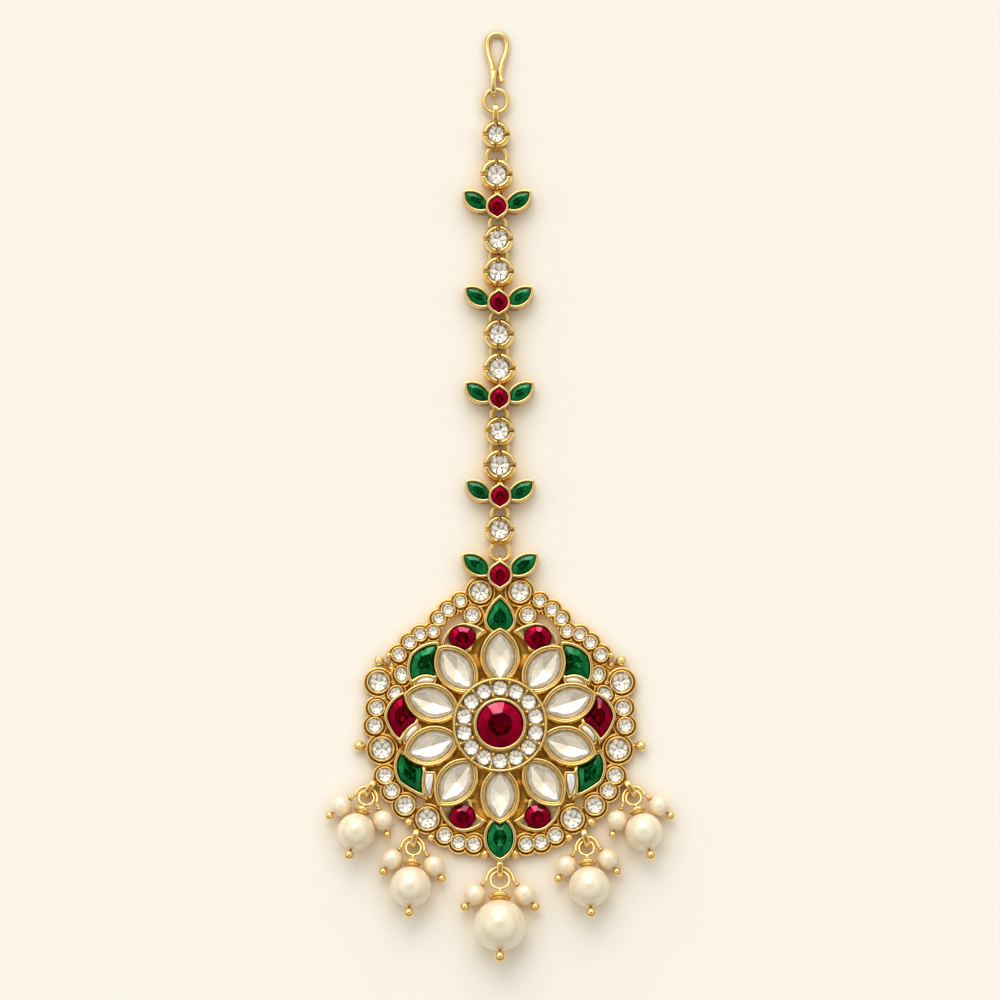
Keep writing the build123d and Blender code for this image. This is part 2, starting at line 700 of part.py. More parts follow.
def hang_point(drop, side):
    """The middle of the bail's hole, between the wires of the ring and of the arch."""
    reach = (drop.ring + drop.arch) / 2
    lean = radians(drop.lean)
    return Vector(side * (drop.x - reach * sin(lean)), drop.y + reach * cos(lean), RING_Z)


def drop_bail(side, drop):
    """The fixed bail on the rim that a drop's ring and arch hang in."""
    lean = radians(drop.bail_lean)
    outward = Vector(side * sin(lean), -cos(lean), 0)
    centre = hang_point(drop, side) + outward * ((BAIL_OUTWARD - BAIL_INWARD) / 2)
    return bail(
        tuple(centre), tuple(outward), BAIL_INWARD + BAIL_OUTWARD, BAIL_HEIGHT, BAIL_WALL, BAIL_HALF_WIDTH
    )


drops = [(1, drop) for drop in RIGHT_DROPS + [MIDDLE_DROP]]
drops += [(-1, drop) for drop in reversed(RIGHT_DROPS)]
drop_bails = [drop_bail(side, drop) for side, drop in drops]
crest_lug = lug(CHAIN_RINGS[-1], -1)
halo_angles = [radians(90 + 360 * number / HALO_STONES) for number in range(HALO_STONES)]
halo_spots = [
    (FLOWER[0] + HALO_RADIUS * cos(angle), FLOWER[1] + HALO_RADIUS * sin(angle)) for angle in halo_angles
]

with BuildPart() as medallion_frame:
    with BuildSketch():
        rim_line = [(stone.x, stone.y) for stone in RIM]
        with BuildLine():
            Polyline(*rim_line, *[(-x, y) for x, y in reversed(rim_line)], close=True)
        make_face()
        Circle(abs(BOTTOM_POINT[1]))
        with Locations((0, CREST.y)):
            Rectangle(*CREST_NECK, align=(Align.CENTER, Align.MAX))
        for face in all_cells():
            add(face)
    extrude(amount=PLATE)
    with BuildSketch():
        collets(BORDER)
    extrude(amount=LIP_TOP)
    with BuildSketch(Plane.XY.offset(LIP_TOP)):
        collets(BORDER - LIP)
    extrude(amount=COLLAR_TOP - LIP_TOP, mode=Mode.SUBTRACT)

    # pierced places, left clear of the settings round them
    with BuildSketch():
        for side in (1, -1):
            with BuildLine():
                corners = [(side * x, y) for x, y in UPPER_PIERCING]
                ThreePointArc(*corners[:3])
                Polyline(*corners[2:], corners[0])
            make_face()
            with Locations((side * LOWER_PIERCING.x, LOWER_PIERCING.y)):
                Circle(LOWER_PIERCING.radius)
        collets_room = RIM_BEZEL + PIERCING_MARGIN
        for side, stone in both_sides(RIM + [INNER_ROUND]):
            with Locations((side * stone.x, stone.y)):
                Circle(stone.radius + collets_room, mode=Mode.SUBTRACT)
        for face in all_cells(-PIERCING_MARGIN):
            add(face, mode=Mode.SUBTRACT)
        for petal in PETALS:
            add(petal_outline(petal, -PIERCING_MARGIN), mode=Mode.SUBTRACT)
    extrude(amount=LIP_TOP, mode=Mode.SUBTRACT)

    # settings, from the lowest to the highest
    with BuildSketch():
        collets(RIM_BEZEL)
    extrude(amount=RIM_TOP)
    with BuildSketch():
        for face in all_cells() + crescent_cups():
            add(face)
    extrude(amount=CELL_TOP)
    with BuildSketch():
        add(pear_outline())
        add(bottom_outline())
    extrude(amount=POINT_TOP)
    with BuildSketch():
        for petal in PETALS:
            add(petal_outline(petal))
    extrude(amount=PETAL_TOP)
    with BuildSketch():
        with Locations(FLOWER):
            Circle(HALO_OUTER)
    extrude(amount=HALO_TOP)
    trefoil_body(CREST)

    # floors between the rims
    with BuildSketch(Plane.XY.offset(HALO_TOP)):
        with Locations(FLOWER):
            Circle(HALO_OUTER - HALO_LIP)
    extrude(amount=HALO_FLOOR - HALO_TOP, mode=Mode.SUBTRACT)
    with BuildSketch(Plane.XY.offset(HALO_FLOOR)):
        with Locations(FLOWER):
            Circle(CENTRE_BEZEL)
    extrude(amount=CENTRE_TOP - HALO_FLOOR)
    with BuildSketch(Plane.XY.offset(CELL_TOP)):
        for face in all_cells(CELL_LIP):
            add(face)
        for petal in PETALS:
            add(petal_outline(petal), mode=Mode.SUBTRACT)
    extrude(amount=-CELL_HOLLOW, mode=Mode.SUBTRACT)
    with BuildSketch(Plane.XY.offset(PETAL_TOP)):
        for petal in PETALS:
            add(petal_outline(petal, PETAL_STEP))
        with Locations(FLOWER):
            Circle(HALO_OUTER, mode=Mode.SUBTRACT)
    extrude(amount=-PETAL_HOLLOW, mode=Mode.SUBTRACT)

    # seats
    with BuildSketch(Plane.XY.offset(PETAL_TOP)):
        for petal in PETALS:
            add(petal_outline(petal, PETAL_BEZEL))
    extrude(amount=-PETAL_SEAT, mode=Mode.SUBTRACT)
    with BuildSketch(Plane.XY.offset(RIM_TOP)):
        collets(GAP)
    extrude(amount=-RIM_SEAT, mode=Mode.SUBTRACT)
    with BuildSketch(Plane.XY.offset(CELL_TOP)):
        for name in CELLS:
            for face in half_mirrored(cell_stone_outline(name, 0)):
                add(face)
        for crescent in CRESCENTS.values():
            for face in half_mirrored(crescent_outline(crescent)):
                add(face)
    extrude(amount=-CELL_SEAT, mode=Mode.SUBTRACT)
    with BuildSketch(Plane.XY.offset(POINT_TOP)):
        add(pear_outline(POINT_BEZEL))
        add(bottom_outline(POINT_BEZEL))
        for petal in PETALS:
            add(petal_outline(petal), mode=Mode.SUBTRACT)
    extrude(amount=-POINT_SEAT, mode=Mode.SUBTRACT)
    with BuildSketch(Plane.XY.offset(HALO_FLOOR)):
        with Locations(*halo_spots):
            Circle(HALO_STONE + GAP)
    extrude(amount=-HALO_SEAT, mode=Mode.SUBTRACT)
    with BuildSketch(Plane.XY.offset(CENTRE_TOP)):
        with Locations(FLOWER):
            Circle(RUBY_RADIUS + GAP)
    extrude(amount=-CENTRE_SEAT, mode=Mode.SUBTRACT)

    # crest lug, gold balls and the bails of the drops
    ring_pocket(CHAIN_RINGS[-1])
    add(crest_lug)
    trefoil_seats(CREST)
    for side, ball in both_sides(BALLS):
        reach = hypot(ball.x, ball.y)
        foot = 1 - (ball.radius + BALL_REACH) / reach
        rod((side * ball.x * foot, ball.y * foot, COLLAR_TOP / 2), (side * ball.x, ball.y, BALL_Z), BALL_STEM)
        with Locations((side * ball.x, ball.y, BALL_Z)):
            Sphere(ball.radius)
    add(drop_bails)
finish(medallion_frame.part, "medallion_frame")

with BuildPart() as centre_ruby:
    corners = ring_of_corners(*FLOWER, RUBY_RADIUS, RUBY_RADIUS, CENTRE_CUT.pitch)
    cut_stone(corners, CENTRE_TOP - CENTRE_SEAT + GAP, CENTRE_CUT)
finish(centre_ruby.part, "centre_ruby")

with BuildPart() as halo_stones:
    for x, y in halo_spots:
        corners = ring_of_corners(x, y, HALO_STONE, HALO_STONE, HALO_CUT.pitch)
        cut_stone(corners, HALO_FLOOR - HALO_SEAT + GAP, HALO_CUT)
finish(halo_stones.part, "halo_stones")

with BuildPart() as rim_stones:
    for side, stone in both_sides(RIM + [INNER_ROUND]):
        corners = ring_of_corners(side * stone.x, stone.y, stone.radius, stone.radius, RIM_CUT.pitch)
        cut_stone(corners, RIM_TOP - RIM_SEAT + GAP, RIM_CUT)
    for side, stone in both_sides(INNER_OVALS):
        corners = ring_of_corners(
            side * stone.x, stone.y, stone.long, stone.short, RIM_CUT.pitch, side * stone.angle
        )
        cut_stone(corners, RIM_TOP - RIM_SEAT + GAP, RIM_CUT)
finish(rim_stones.part, "rim_stones")

for number, petal in enumerate(PETALS, start=1):
    with BuildPart() as petal_stone:
        face = petal_outline(petal, PETAL_BEZEL + GAP).face()
        cut_stone(corners_of(face, PETAL_CUT.pitch), PETAL_TOP - PETAL_SEAT + GAP, PETAL_CUT)
    finish(petal_stone.part, f"petal_stone_{number}")

counts = {"ruby": 0, "emerald": 0}
for name in CELLS:
    for side in (1, -1):
        corners = corners_of(cell_stone_outline(name, GAP), CELL_CUT.pitch)
        if side < 0:
            corners = [Vector(-corner.X, corner.Y) for corner in reversed(corners)]
        colour = name.split("_")[1]
        counts[colour] += 1
        with BuildPart() as cell_stone:
            cut_stone(corners, CELL_TOP - CELL_SEAT + GAP, CELL_CUT)
        finish(cell_stone.part, f"petal_{colour}_{counts[colour]}")

for outline in (pear_outline, bottom_outline):
    with BuildSketch() as seat:
        add(outline(POINT_BEZEL + GAP))
        for petal in PETALS:
            add(petal_outline(petal, -GAP), mode=Mode.SUBTRACT)
    counts["emerald"] += 1
    with BuildPart() as point_stone:
        corners = corners_of(biggest(seat.sketch), POINT_CUT.pitch)
        cut_stone(corners, POINT_TOP - POINT_SEAT + GAP, POINT_CUT)
    finish(point_stone.part, f"petal_emerald_{counts['emerald']}")

with BuildPart() as enamel_crescents:
    base = CELL_TOP - CELL_SEAT + GAP
    for crescent in CRESCENTS.values():
        face = crescent_outline(crescent)
        with BuildSketch(Plane.XY.offset(base)):
            add(offset(face, amount=-GAP, kind=Kind.INTERSECTION))
        extrude(amount=CRESCENT_TOP - base)
    mirror(about=Plane.YZ)
finish(enamel_crescents.part, "enamel_crescents")

# ---------------------------------------------------------------- pearl drops
small_spots = []
for number, (side, drop) in enumerate(drops, start=1):
    hang = hang_point(drop, side)
    reach = (drop.ring + drop.arch) / 2
    rise = degrees(asin((drop.pearl - RING_Z) / (reach + drop.pearl_at)))
    plane = drop_plane(hang, side * drop.lean, rise)
    ring_y = -reach
    pearl_y = ring_y - drop.pearl_at
    cap_y = pearl_y + drop.pearl + CAP_RISE
    ball_y = pearl_y - drop.pearl - drop.ball - TAIL

    with BuildPart(plane) as drop_pin:
        with Locations((0, ring_y)):
            Torus(drop.ring, RING_WIRE)
        rod((0, ring_y - drop.ring, 0), (0, ball_y, 0), PIN)
        rod((0, cap_y - CAP_PLUG, 0), (0, cap_y, 0), drop.cap * CAP_PLUG_WIDTH)
        rounded_disc((0, cap_y, 0), (0, cap_y + CAP_THICKNESS, 0), drop.cap)
        with Locations((0, cap_y + CAP_THICKNESS + CAP_BEAD / 3)):
            Sphere(CAP_BEAD)
        with Locations((0, ball_y)):
            Sphere(drop.ball)
    finish(drop_pin.part, f"drop_pin_{number}")

    with BuildPart(plane) as main_pearl:
        with Locations((0, pearl_y)):
            Sphere(drop.pearl)
        rod((0, pearl_y - 2 * drop.pearl, 0), (0, pearl_y + 2 * drop.pearl, 0), BORE, mode=Mode.SUBTRACT)
    finish(main_pearl.part, f"main_pearl_{number}")

    arch_y = -reach
    side_reach = reach + drop.side_y
    arch_rise = degrees(asin((drop.side - RING_Z) / side_reach))
    arch_plane = drop_plane(hang, side * drop.arch_lean, arch_rise)
    collar_radius, collar_thickness, collar_gap = COLLAR
    with BuildPart(arch_plane) as drop_arch:
        with Locations((0, arch_y)):
            Torus(drop.arch, ARCH_WIRE, major_angle=180, align=None)
        for hand in (-1, 1):
            foot = Vector(hand * drop.arch, arch_y, 0)
            bead = Vector(hand * drop.side_x - side * drop.inward, arch_y - drop.side_y, 0)
            along = (bead - foot).normalized()
            rod(tuple(foot), tuple(bead + along * (drop.side + drop.bead)), PIN)
            collar = bead - along * (drop.side + collar_gap)
            rounded_disc(tuple(collar - along * collar_thickness), tuple(collar), collar_radius)
            with Locations(foot):
                Sphere(ARCH_WIRE + ARCH_END)
            with Locations(bead + along * (drop.side + drop.bead + TAIL / 2)):
                Sphere(drop.bead)
            small_spots.append((arch_plane, foot, bead, drop.side))
    finish(drop_arch.part, f"drop_arch_{number}")

with BuildPart() as small_pearls:
    for arch_plane, foot, bead, radius in small_spots:
        start, middle = arch_plane.from_local_coords(foot), arch_plane.from_local_coords(bead)
        with Locations(middle):
            Sphere(radius)
        rod(tuple(start), tuple(middle * 2 - start), BORE, mode=Mode.SUBTRACT)
finish(small_pearls.part, "small_pearls")
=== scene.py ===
"""A maang tikka lying on a pale table: gold settings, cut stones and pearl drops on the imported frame."""
import math
from collections import namedtuple

import bmesh
import bpy
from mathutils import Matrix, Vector


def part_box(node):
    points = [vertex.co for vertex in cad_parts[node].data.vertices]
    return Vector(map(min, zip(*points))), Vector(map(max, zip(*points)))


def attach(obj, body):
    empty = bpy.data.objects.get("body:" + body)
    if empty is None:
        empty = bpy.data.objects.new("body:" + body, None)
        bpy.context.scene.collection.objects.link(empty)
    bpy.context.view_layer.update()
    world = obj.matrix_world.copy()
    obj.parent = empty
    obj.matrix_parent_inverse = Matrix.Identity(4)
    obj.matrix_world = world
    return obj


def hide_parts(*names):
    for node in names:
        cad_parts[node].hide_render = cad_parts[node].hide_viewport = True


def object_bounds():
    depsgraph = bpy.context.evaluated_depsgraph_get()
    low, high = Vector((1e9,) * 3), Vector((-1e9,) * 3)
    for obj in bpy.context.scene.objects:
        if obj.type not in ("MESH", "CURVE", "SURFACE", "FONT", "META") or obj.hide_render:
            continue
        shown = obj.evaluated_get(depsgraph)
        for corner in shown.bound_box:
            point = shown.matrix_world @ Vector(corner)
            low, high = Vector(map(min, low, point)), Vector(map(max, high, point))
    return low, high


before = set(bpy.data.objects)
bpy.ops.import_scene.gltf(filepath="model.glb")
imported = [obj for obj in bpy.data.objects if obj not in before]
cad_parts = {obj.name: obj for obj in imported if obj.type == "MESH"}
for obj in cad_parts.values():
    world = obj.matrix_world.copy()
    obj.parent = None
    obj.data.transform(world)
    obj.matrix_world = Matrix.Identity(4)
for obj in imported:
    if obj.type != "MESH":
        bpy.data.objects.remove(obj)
solids_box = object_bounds()
MM = 0.001

# ---------------------------------------------------------------- sizes, in millimetres
MERGE = 0.0001  # corners closer than this are one
SAME_LEVEL = 0.01  # heights closer than this are one
SAME_TOP = 0.004
GOLD_TOPS = (1.6, 2.2, 2.4, 2.7, 2.8, 2.9, 3.1, 3.6, 4.2)  # flat tops of rims and bezels
LIP_STEPS = ((0.035, 0.07), (0.045, 0.05), (0.06, 0.02))  # how far in and up each step of a lip goes
DOME_STEPS = ((0.08, 0.16), (0.12, 0.13), (0.16, 0.07))  # the same for the enamel's domes
CELL_FLOOR = 2.05  # height of the floors between the flower's bezels
HALO_FLOOR = 3.15
RUBY_FLOOR = 4.5  # how far the floor of a round ruby's cell reaches from the stone's middle
HALO_BEADS = (4.98, 7.12)  # distances of the two rows of beads beside the halo's stones
HALO_BEAD = 0.31
HALO_BEAD_DROP = 0.42  # from the tops of the halo's stones down to the beads' middles
RIM_COLLET = 0.34  # wall round each rim stone
RIM_GRAIN = 0.28
GRAIN_LEVEL = 1.32
GRAIN_MARGIN = 0.1
NEIGHBOURS = 1.7  # rim stones with less than this between their edges share grains
CRYSTAL_EDGE = 0.12  # height of a petal stone's girdle
CRYSTAL_RISE = 0.02
CRYSTAL_PIT = 0.50  # depth of the foil's lowest point under a petal stone's girdle
GIRDLE = 0.1  # height of a coloured stone's girdle
BACK_GAP = 0.03  # least gap from a coloured stone's foil to the back of its solid

# ---------------------------------------------------------------- shares, slopes and angles
FLAT = 0.999  # a face whose facing has this upward part is level
VERY_FLAT = 0.9999
UPRIGHT = 0.05  # a face whose facing has less upward part than this is a wall
BEND = math.radians(1.5)  # an outline turns at least this much at a corner
METAL_CREASE = 40  # degrees from which an edge stays crisp
ROUND_CREASE = 60
WIRE_SIDES = 20
AXIS_ROUNDS = 30  # steps that find the direction of a pin
POINT_STEP = 7  # every seventh point is enough for it
CRYSTAL_TABLE = 0.80  # a petal stone's table as a share of its outline
CRYSTAL_SWELL = 1.02  # how far its girdle reaches into the bezel
TABLE_SHARE = 0.5  # a coloured stone's table as a share of its outline
GIRDLE_SWELL = 1.015
PIT_RIM = 0.04  # how much wider than the table the pit of foil is
SHOULDER = 0.9  # how far up the crown the foil climbs
CROWN_SLOPE = 0.40  # rise over run of a coloured stone's crown
PIT_SLOPE = 0.35  # rise over run of the foil below its table
REACH_SHARE = 0.75  # a stone's half width as a share of its corners' mean distance from one of them
FACETS = 8
OVAL = 1.12  # a stone longer than this for its width is an oval
STONE_TWIST = 0.37  # radians from one round stone's facets to the next one's
GEM_GLASS, WARM, BRIGHT, PALE, EDGE = range(5)  # a petal stone's materials, in order
FOIL, PAINTED_HIGHLIGHT = 1, 2  # a coloured stone's materials after its glass: its foil, then a brighter glass for one crown facet, a painted highlight
HIGHLIGHT_FACET_SLOPES = (0.3, 0.995)  # upward parts of the facing of the crown facet that gets the painted highlight
HIGHLIGHT_FACET_TURN = 0.92  # part of that facet's level facing that points up the chain

Band = namedtuple("Band", "depth length width sides material")
CRYSTAL_BANDS = (  # pointed ovals of foil below a petal stone's girdle, from the outside in
    Band(0.13, 0.97, 0.88, 0, WARM),
    Band(0.21, 0.94, 0.79, 0, PALE),
    Band(0.13, 0.92, 0.74, 0, EDGE),
    Band(0.13, 0.89, 0.69, 0, EDGE),
    Band(0.18, 0.88, 0.68, FACETS, BRIGHT),
)

Tier = namedtuple("Tier", "count radius depth shift")
TABLE_TIER = Tier(8, 0.56, 0.0, 0.0)  # rings of corners of a round cut of unit radius
STAR_TIER = Tier(8, 0.78, 0.117, 0.5)
UPPER_TIER = Tier(16, 1.0, 0.32, 0.0)
LOWER_TIER = Tier(16, 1.0, 0.37, 0.0)
DEEP_TIER = Tier(8, 0.42, 0.47, 0.5)
CULET = 0.565
TUCK = 0.92  # every second deep corner is drawn in this much

# ---------------------------------------------------------------- the room and the camera
Stop = namedtuple("Stop", "height level")
SKY = (  # brightness from the horizon up to straight overhead
    Stop(0.0, 0.32),
    Stop(0.30, 0.37),
    Stop(0.48, 0.66),
    Stop(0.64, 1.12),
    Stop(0.88, 1.12),
    Stop(0.965, 0.38),
    Stop(1.0, 0.15),
)
BRIGHTEST = 2.0  # the sky's levels are kept as shares of this
FAR_SIDE = (-0.65, 0.65, 0.60, 1.20)  # the room is dimmer on the near side and brighter on the far side
Window = namedtuple("Window", "direction start full level")
WINDOWS = (
    Window((-0.10, 0.86, 0.42), 0.80, 0.93, 1.4),
    Window((-0.85, 0.10, 0.5), 0.90, 0.97, 0.35),
    Window((-0.12, 0.47, 0.87), 0.945, 0.985, 2.0),
)
TABLE_REACH = 1.2  # metres
TABLE_GAP = 0.00002  # metres below the jewel's lowest point
LENS = 200.0
SENSOR = 36.0
VIEW_WIDTH = 0.1651  # metres across the view at the aim
VIEW_RISE = math.radians(82)
AIM = Vector((0.0, 0.03705, 0.0012))


# ---------------------------------------------------------------- finishes
class Nodes:
    """A node tree under construction."""

    def __init__(self, tree):
        self.tree = tree

    def wire(self, socket, value):
        """Joins another node's output to a socket, or sets the socket's own value."""
        if isinstance(value, bpy.types.NodeSocket):
            self.tree.links.new(value, socket)
        elif socket.type == "RGBA":
            socket.default_value = (*value, 1.0)
        else:
            socket.default_value = value

    def node(self, kind, inputs, **settings):
        made = self.tree.nodes.new(kind)
        for key, value in settings.items():
            setattr(made, key, value)
        for socket_name, value in inputs.items():
            self.wire(made.inputs[socket_name], value)
        return made


class Finish(Nodes):
    """The shader nodes of a material or a world."""

    def __init__(self, owner):
        owner.use_nodes = True
        super().__init__(owner.node_tree)
        self.owner = owner
        self.tree.nodes.clear()

    def add(self, kind, inputs=None, **settings):
        return self.node("ShaderNode" + kind, inputs or {}, **settings)

    def between(self, factor, first, second):
        """A colour mixed between two by a factor."""
        return self.add("Mix", {0: factor, 6: first, 7: second}, data_type="RGBA").outputs[2]

    def ranged(self, value, low, high, to_low, to_high):
        return self.add("MapRange", {
            "Value": value, "From Min": low, "From Max": high, "To Min": to_low, "To Max": to_high,
        }).outputs["Result"]

    def cloud(self, scale, detail=3.0):
        place = self.add("TexCoord").outputs["Object"]
        return self.add("TexNoise", {
            "Vector": place, "Scale": scale, "Detail": detail, "Roughness": 0.55,
        }).outputs["Fac"]

    def drift(self, scale, detail=3.0, spread=0.15):
        """A slow change from 0 to 1 over the surface."""
        return self.ranged(self.cloud(scale, detail), 0.5 - spread, 0.5 + spread, 0.0, 1.0)

    def openness(self, distance, samples, low, high):
        """0 in a sheltered corner and 1 in the open."""
        shelter = self.add("AmbientOcclusion", {"Distance": distance}, samples=samples)
        return self.ranged(shelter.outputs["AO"], low, high, 0.0, 1.0)

    def bumped(self, height, strength, distance):
        return self.add("Bump", {
            "Height": height, "Strength": strength, "Distance": distance,
        }).outputs["Normal"]

    def principled(self, inputs):
        """Wires a shader to the output and hands back the material."""
        shader = self.add("BsdfPrincipled", inputs)
        self.add("OutputMaterial", {"Surface": shader.outputs[0]})
        return self.owner


def finish(name):
    return Finish(bpy.data.materials.new(name))


def gold_finish(name, bright, warm, shade, rough, grain):
    """Polished gold: a slow drift of tone, a brown painted shade in sheltered corners and a fine cast
    grain.
    """
    made = finish(name)
    tone = made.between(made.drift(240.0), bright, warm)
    open_air = made.openness(0.0011, 5, 0.12, 0.84)
    return made.principled({
        # painted shade: the brown shade colour is mixed in where the corners are sheltered
        "Base Color": made.between(open_air, shade, tone),
        "Metallic": 1.0,
        "Roughness": made.ranged(made.cloud(900.0, 4.0), 0.3, 0.7, rough * 0.75, rough * 1.35),
        "Normal": made.bumped(made.cloud(grain, 2.0), 0.12, 0.00006),
    })


def glass_finish(name, tint, deep, ior, sheen):
    """The clear body of a cut stone, its tint a little uneven and its surface sheen tinted."""
    made = finish(name)
    return made.principled({
        "Base Color": made.between(made.drift(420.0, 2.0, 0.1), tint, deep),
        "Roughness": 0.02,
        "IOR": ior,
        "Specular Tint": sheen,
        "Transmission Weight": 1.0,
    })


def foil_finish(name, bright, dull, rough, mirror):
    """The foil behind a stone, slightly crinkled, part mirror and part white."""
    made = finish(name)
    return made.principled({
        "Base Color": made.between(made.drift(700.0), bright, dull),
        "Metallic": mirror,
        "Roughness": rough,
        "Normal": made.bumped(made.cloud(1500.0, 1.0), 0.15, 0.00005),
    })


def pearl_finish(name):
    """Cream nacre with a clear lustre, and a warm painted shade towards the sheltered underside."""
    made = finish(name)
    body = made.between(made.drift(260.0, 2.0), (0.89, 0.76, 0.52), (0.93, 0.82, 0.60))
    shelter = made.add("AmbientOcclusion", {"Distance": 0.005}, samples=5)
    painted_warm_shade = made.ranged(shelter.outputs["AO"], 0.45, 0.95, 0.85, 0.0)
    return made.principled({
        # painted shade: a warmer, darker colour where the pearl is sheltered
        "Base Color": made.between(painted_warm_shade, body, (0.96, 0.73, 0.41)),
        "Roughness": 0.32,
        "Normal": made.bumped(made.cloud(500.0, 2.0), 0.05, 0.00005),
        "Coat Weight": 1.0,
        "Coat Roughness": 0.13,
        "Coat IOR": 1.95,
    })


def enamel_finish(name):
    """Silvery white enamel, fired smooth."""
    made = finish(name)
    drift = made.drift(600.0)
    return made.principled({
        "Base Color": made.between(drift, (0.80, 0.79, 0.75), (0.92, 0.91, 0.88)),
        "Roughness": made.ranged(drift, 0.0, 1.0, 0.12, 0.2),
        "Metallic": 0.2,
        "Coat Weight": 0.8,
        "Coat Roughness": 0.05,
    })


def table_finish(name):
    """The pale table top, with a warm painted shade where gold shelters it."""
    made = finish(name)
    body = made.between(made.cloud(6.0, 2.0), (0.93, 0.90, 0.825), (0.945, 0.912, 0.838))
    open_air = made.openness(0.006, 4, 0.25, 0.95)
    return made.principled({
        # painted shade and bounce light: warm and darker where the gold shelters the top
        "Base Color": made.between(open_air, (0.90, 0.76, 0.53), body),
        "Roughness": 0.75,
        "Specular IOR Level": 0.1,
    })


WHITE = (1.0, 1.0, 1.0)
# The third colour of each gold is its painted shade in sheltered corners.
GOLD = gold_finish(
    "polished_gold", (0.96, 0.72, 0.31), (0.90, 0.63, 0.22), (0.56, 0.27, 0.02), 0.16, 2600.0)
CAST_GOLD = gold_finish(
    "cast_gold", (0.99, 0.75, 0.32), (0.94, 0.67, 0.23), (0.64, 0.33, 0.03), 0.20, 1800.0)
ROSE_GOLD = gold_finish(
    "rose_gold_floor", (0.90, 0.62, 0.35), (0.82, 0.53, 0.27), (0.64, 0.34, 0.11), 0.42, 1800.0)
# The floors between the bezels: satin, with a dark brown base colour that is painted shade in the recesses.
SHADED_FLOOR_GOLD = gold_finish(
    "satin_gold_floor_painted_shade", (0.54, 0.30, 0.07), (0.44, 0.23, 0.04), (0.26, 0.10, 0.01), 0.40, 1800.0)
HALO_GOLD = gold_finish(
    "halo_floor_gold", (0.96, 0.72, 0.30), (0.92, 0.64, 0.22), (0.80, 0.46, 0.10), 0.42, 1800.0)
CLEAR_GLASS = glass_finish("clear_stone", WHITE, (0.98, 0.97, 0.94), 1.6, WHITE)
CRYSTAL_GLASS = glass_finish("petal_crystal", (1.0, 0.985, 0.95), (0.985, 0.95, 0.89), 1.5, WHITE)
RUBY_GLASS = glass_finish(
    "ruby_glass", (0.34, 0.005, 0.06), (0.24, 0.003, 0.035), 1.5, (0.60, 0.01, 0.12))
# A brighter glass with a stronger, paler reflection, put on one crown facet only: a painted highlight.
RUBY_PAINTED_HIGHLIGHT = glass_finish(
    "ruby_crown_facet_painted_highlight", (0.46, 0.006, 0.16), (0.38, 0.005, 0.11), 1.7, (1.0, 0.72, 0.85))
EMERALD_GLASS = glass_finish(
    "emerald_glass", (0.042, 0.28, 0.115), (0.022, 0.18, 0.07), 1.5, (0.02, 0.40, 0.14))
# The same painted highlight for the emeralds' crown facet.
EMERALD_PAINTED_HIGHLIGHT = glass_finish(
    "emerald_crown_facet_painted_highlight", (0.05, 0.24, 0.12), (0.03, 0.18, 0.09), 1.6, (0.55, 1.0, 0.75))
SILVER_FOIL = foil_finish("silver_foil", (1.0, 0.97, 0.89), (0.97, 0.92, 0.82), 0.07, 0.84)
BRIGHT_FOIL = foil_finish("bright_foil", (0.98, 0.91, 0.78), (0.90, 0.82, 0.67), 0.08, 0.85)
WARM_FOIL = foil_finish("warm_foil", (0.90, 0.75, 0.50), (0.76, 0.58, 0.33), 0.22, 0.25)
PALE_FOIL = foil_finish("pale_foil", (0.98, 0.90, 0.74), (0.90, 0.79, 0.60), 0.20, 0.3)
FOIL_EDGE = foil_finish("foil_edge", (1.0, 0.98, 0.92), (0.98, 0.94, 0.85), 0.35, 0.05)
RUBY_FOIL = foil_finish("ruby_foil", (0.85, 0.22, 0.28), (0.50, 0.09, 0.13), 0.12, 1.0)
EMERALD_FOIL = foil_finish("emerald_foil", (0.30, 0.66, 0.44), (0.12, 0.36, 0.20), 0.12, 1.0)
PEARL = pearl_finish("pearl_nacre")
ENAMEL = enamel_finish("white_enamel_fired")
TABLE = table_finish("table_top")


# ---------------------------------------------------------------- mesh work
def merged(node):
    """A CAD node's mesh with its loose triangles joined."""
    shape = bmesh.new()
    shape.from_mesh(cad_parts[node].data)
    bmesh.ops.remove_doubles(shape, verts=shape.verts, dist=MERGE * MM)
    return shape


def loose_groups(shape):
    """The vertices of each loose solid of a shape."""
    seen, groups = set(), []
    for start in shape.verts:
        if start in seen:
            continue
        seen.add(start)
        queue, group = [start], []
        while queue:
            vertex = queue.pop()
            group.append(vertex)
            for edge in vertex.link_edges:
                other = edge.other_vert(vertex)
                if other not in seen:
                    seen.add(other)
                    queue.append(other)
        groups.append(group)
    return groups


def lumps(node):
    """The corner points of each loose solid in a node."""
    shape = merged(node)
    found = [[vertex.co.copy() for vertex in group] for group in loose_groups(shape)]
    shape.free()
    return found


def spans(points):
    """The lowest and highest corner of the box round some points."""
    low = Vector([min(point[axis] for point in points) for axis in range(3)])
    high = Vector([max(point[axis] for point in points) for axis in range(3)])
    return low, high


def placed(name, shape, *materials):
    """A bmesh made into an object of the scene."""
    mesh = bpy.data.meshes.new(name)
    shape.to_mesh(mesh)
    shape.free()
    for material in materials:
        mesh.materials.append(material)
    piece = bpy.data.objects.new(name, mesh)
    bpy.context.scene.collection.objects.link(piece)
    return piece


def smooth(piece, angle):
    """Round shading, with edges sharper than the angle left crisp."""
    piece.data.shade_smooth()
    piece.data.set_sharp_from_angle(angle=math.radians(angle))


def kept(piece, slot, *nodes):
    """Ties a finished piece to the body and hides the nodes that it stands for; the slot is not used."""
    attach(piece, "root")
    if nodes:
        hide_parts(*nodes)
    return piece


# ---------------------------------------------------------------- gold settings
def is_top(level, tolerance):
    return any(abs(level - top) < tolerance for top in GOLD_TOPS)


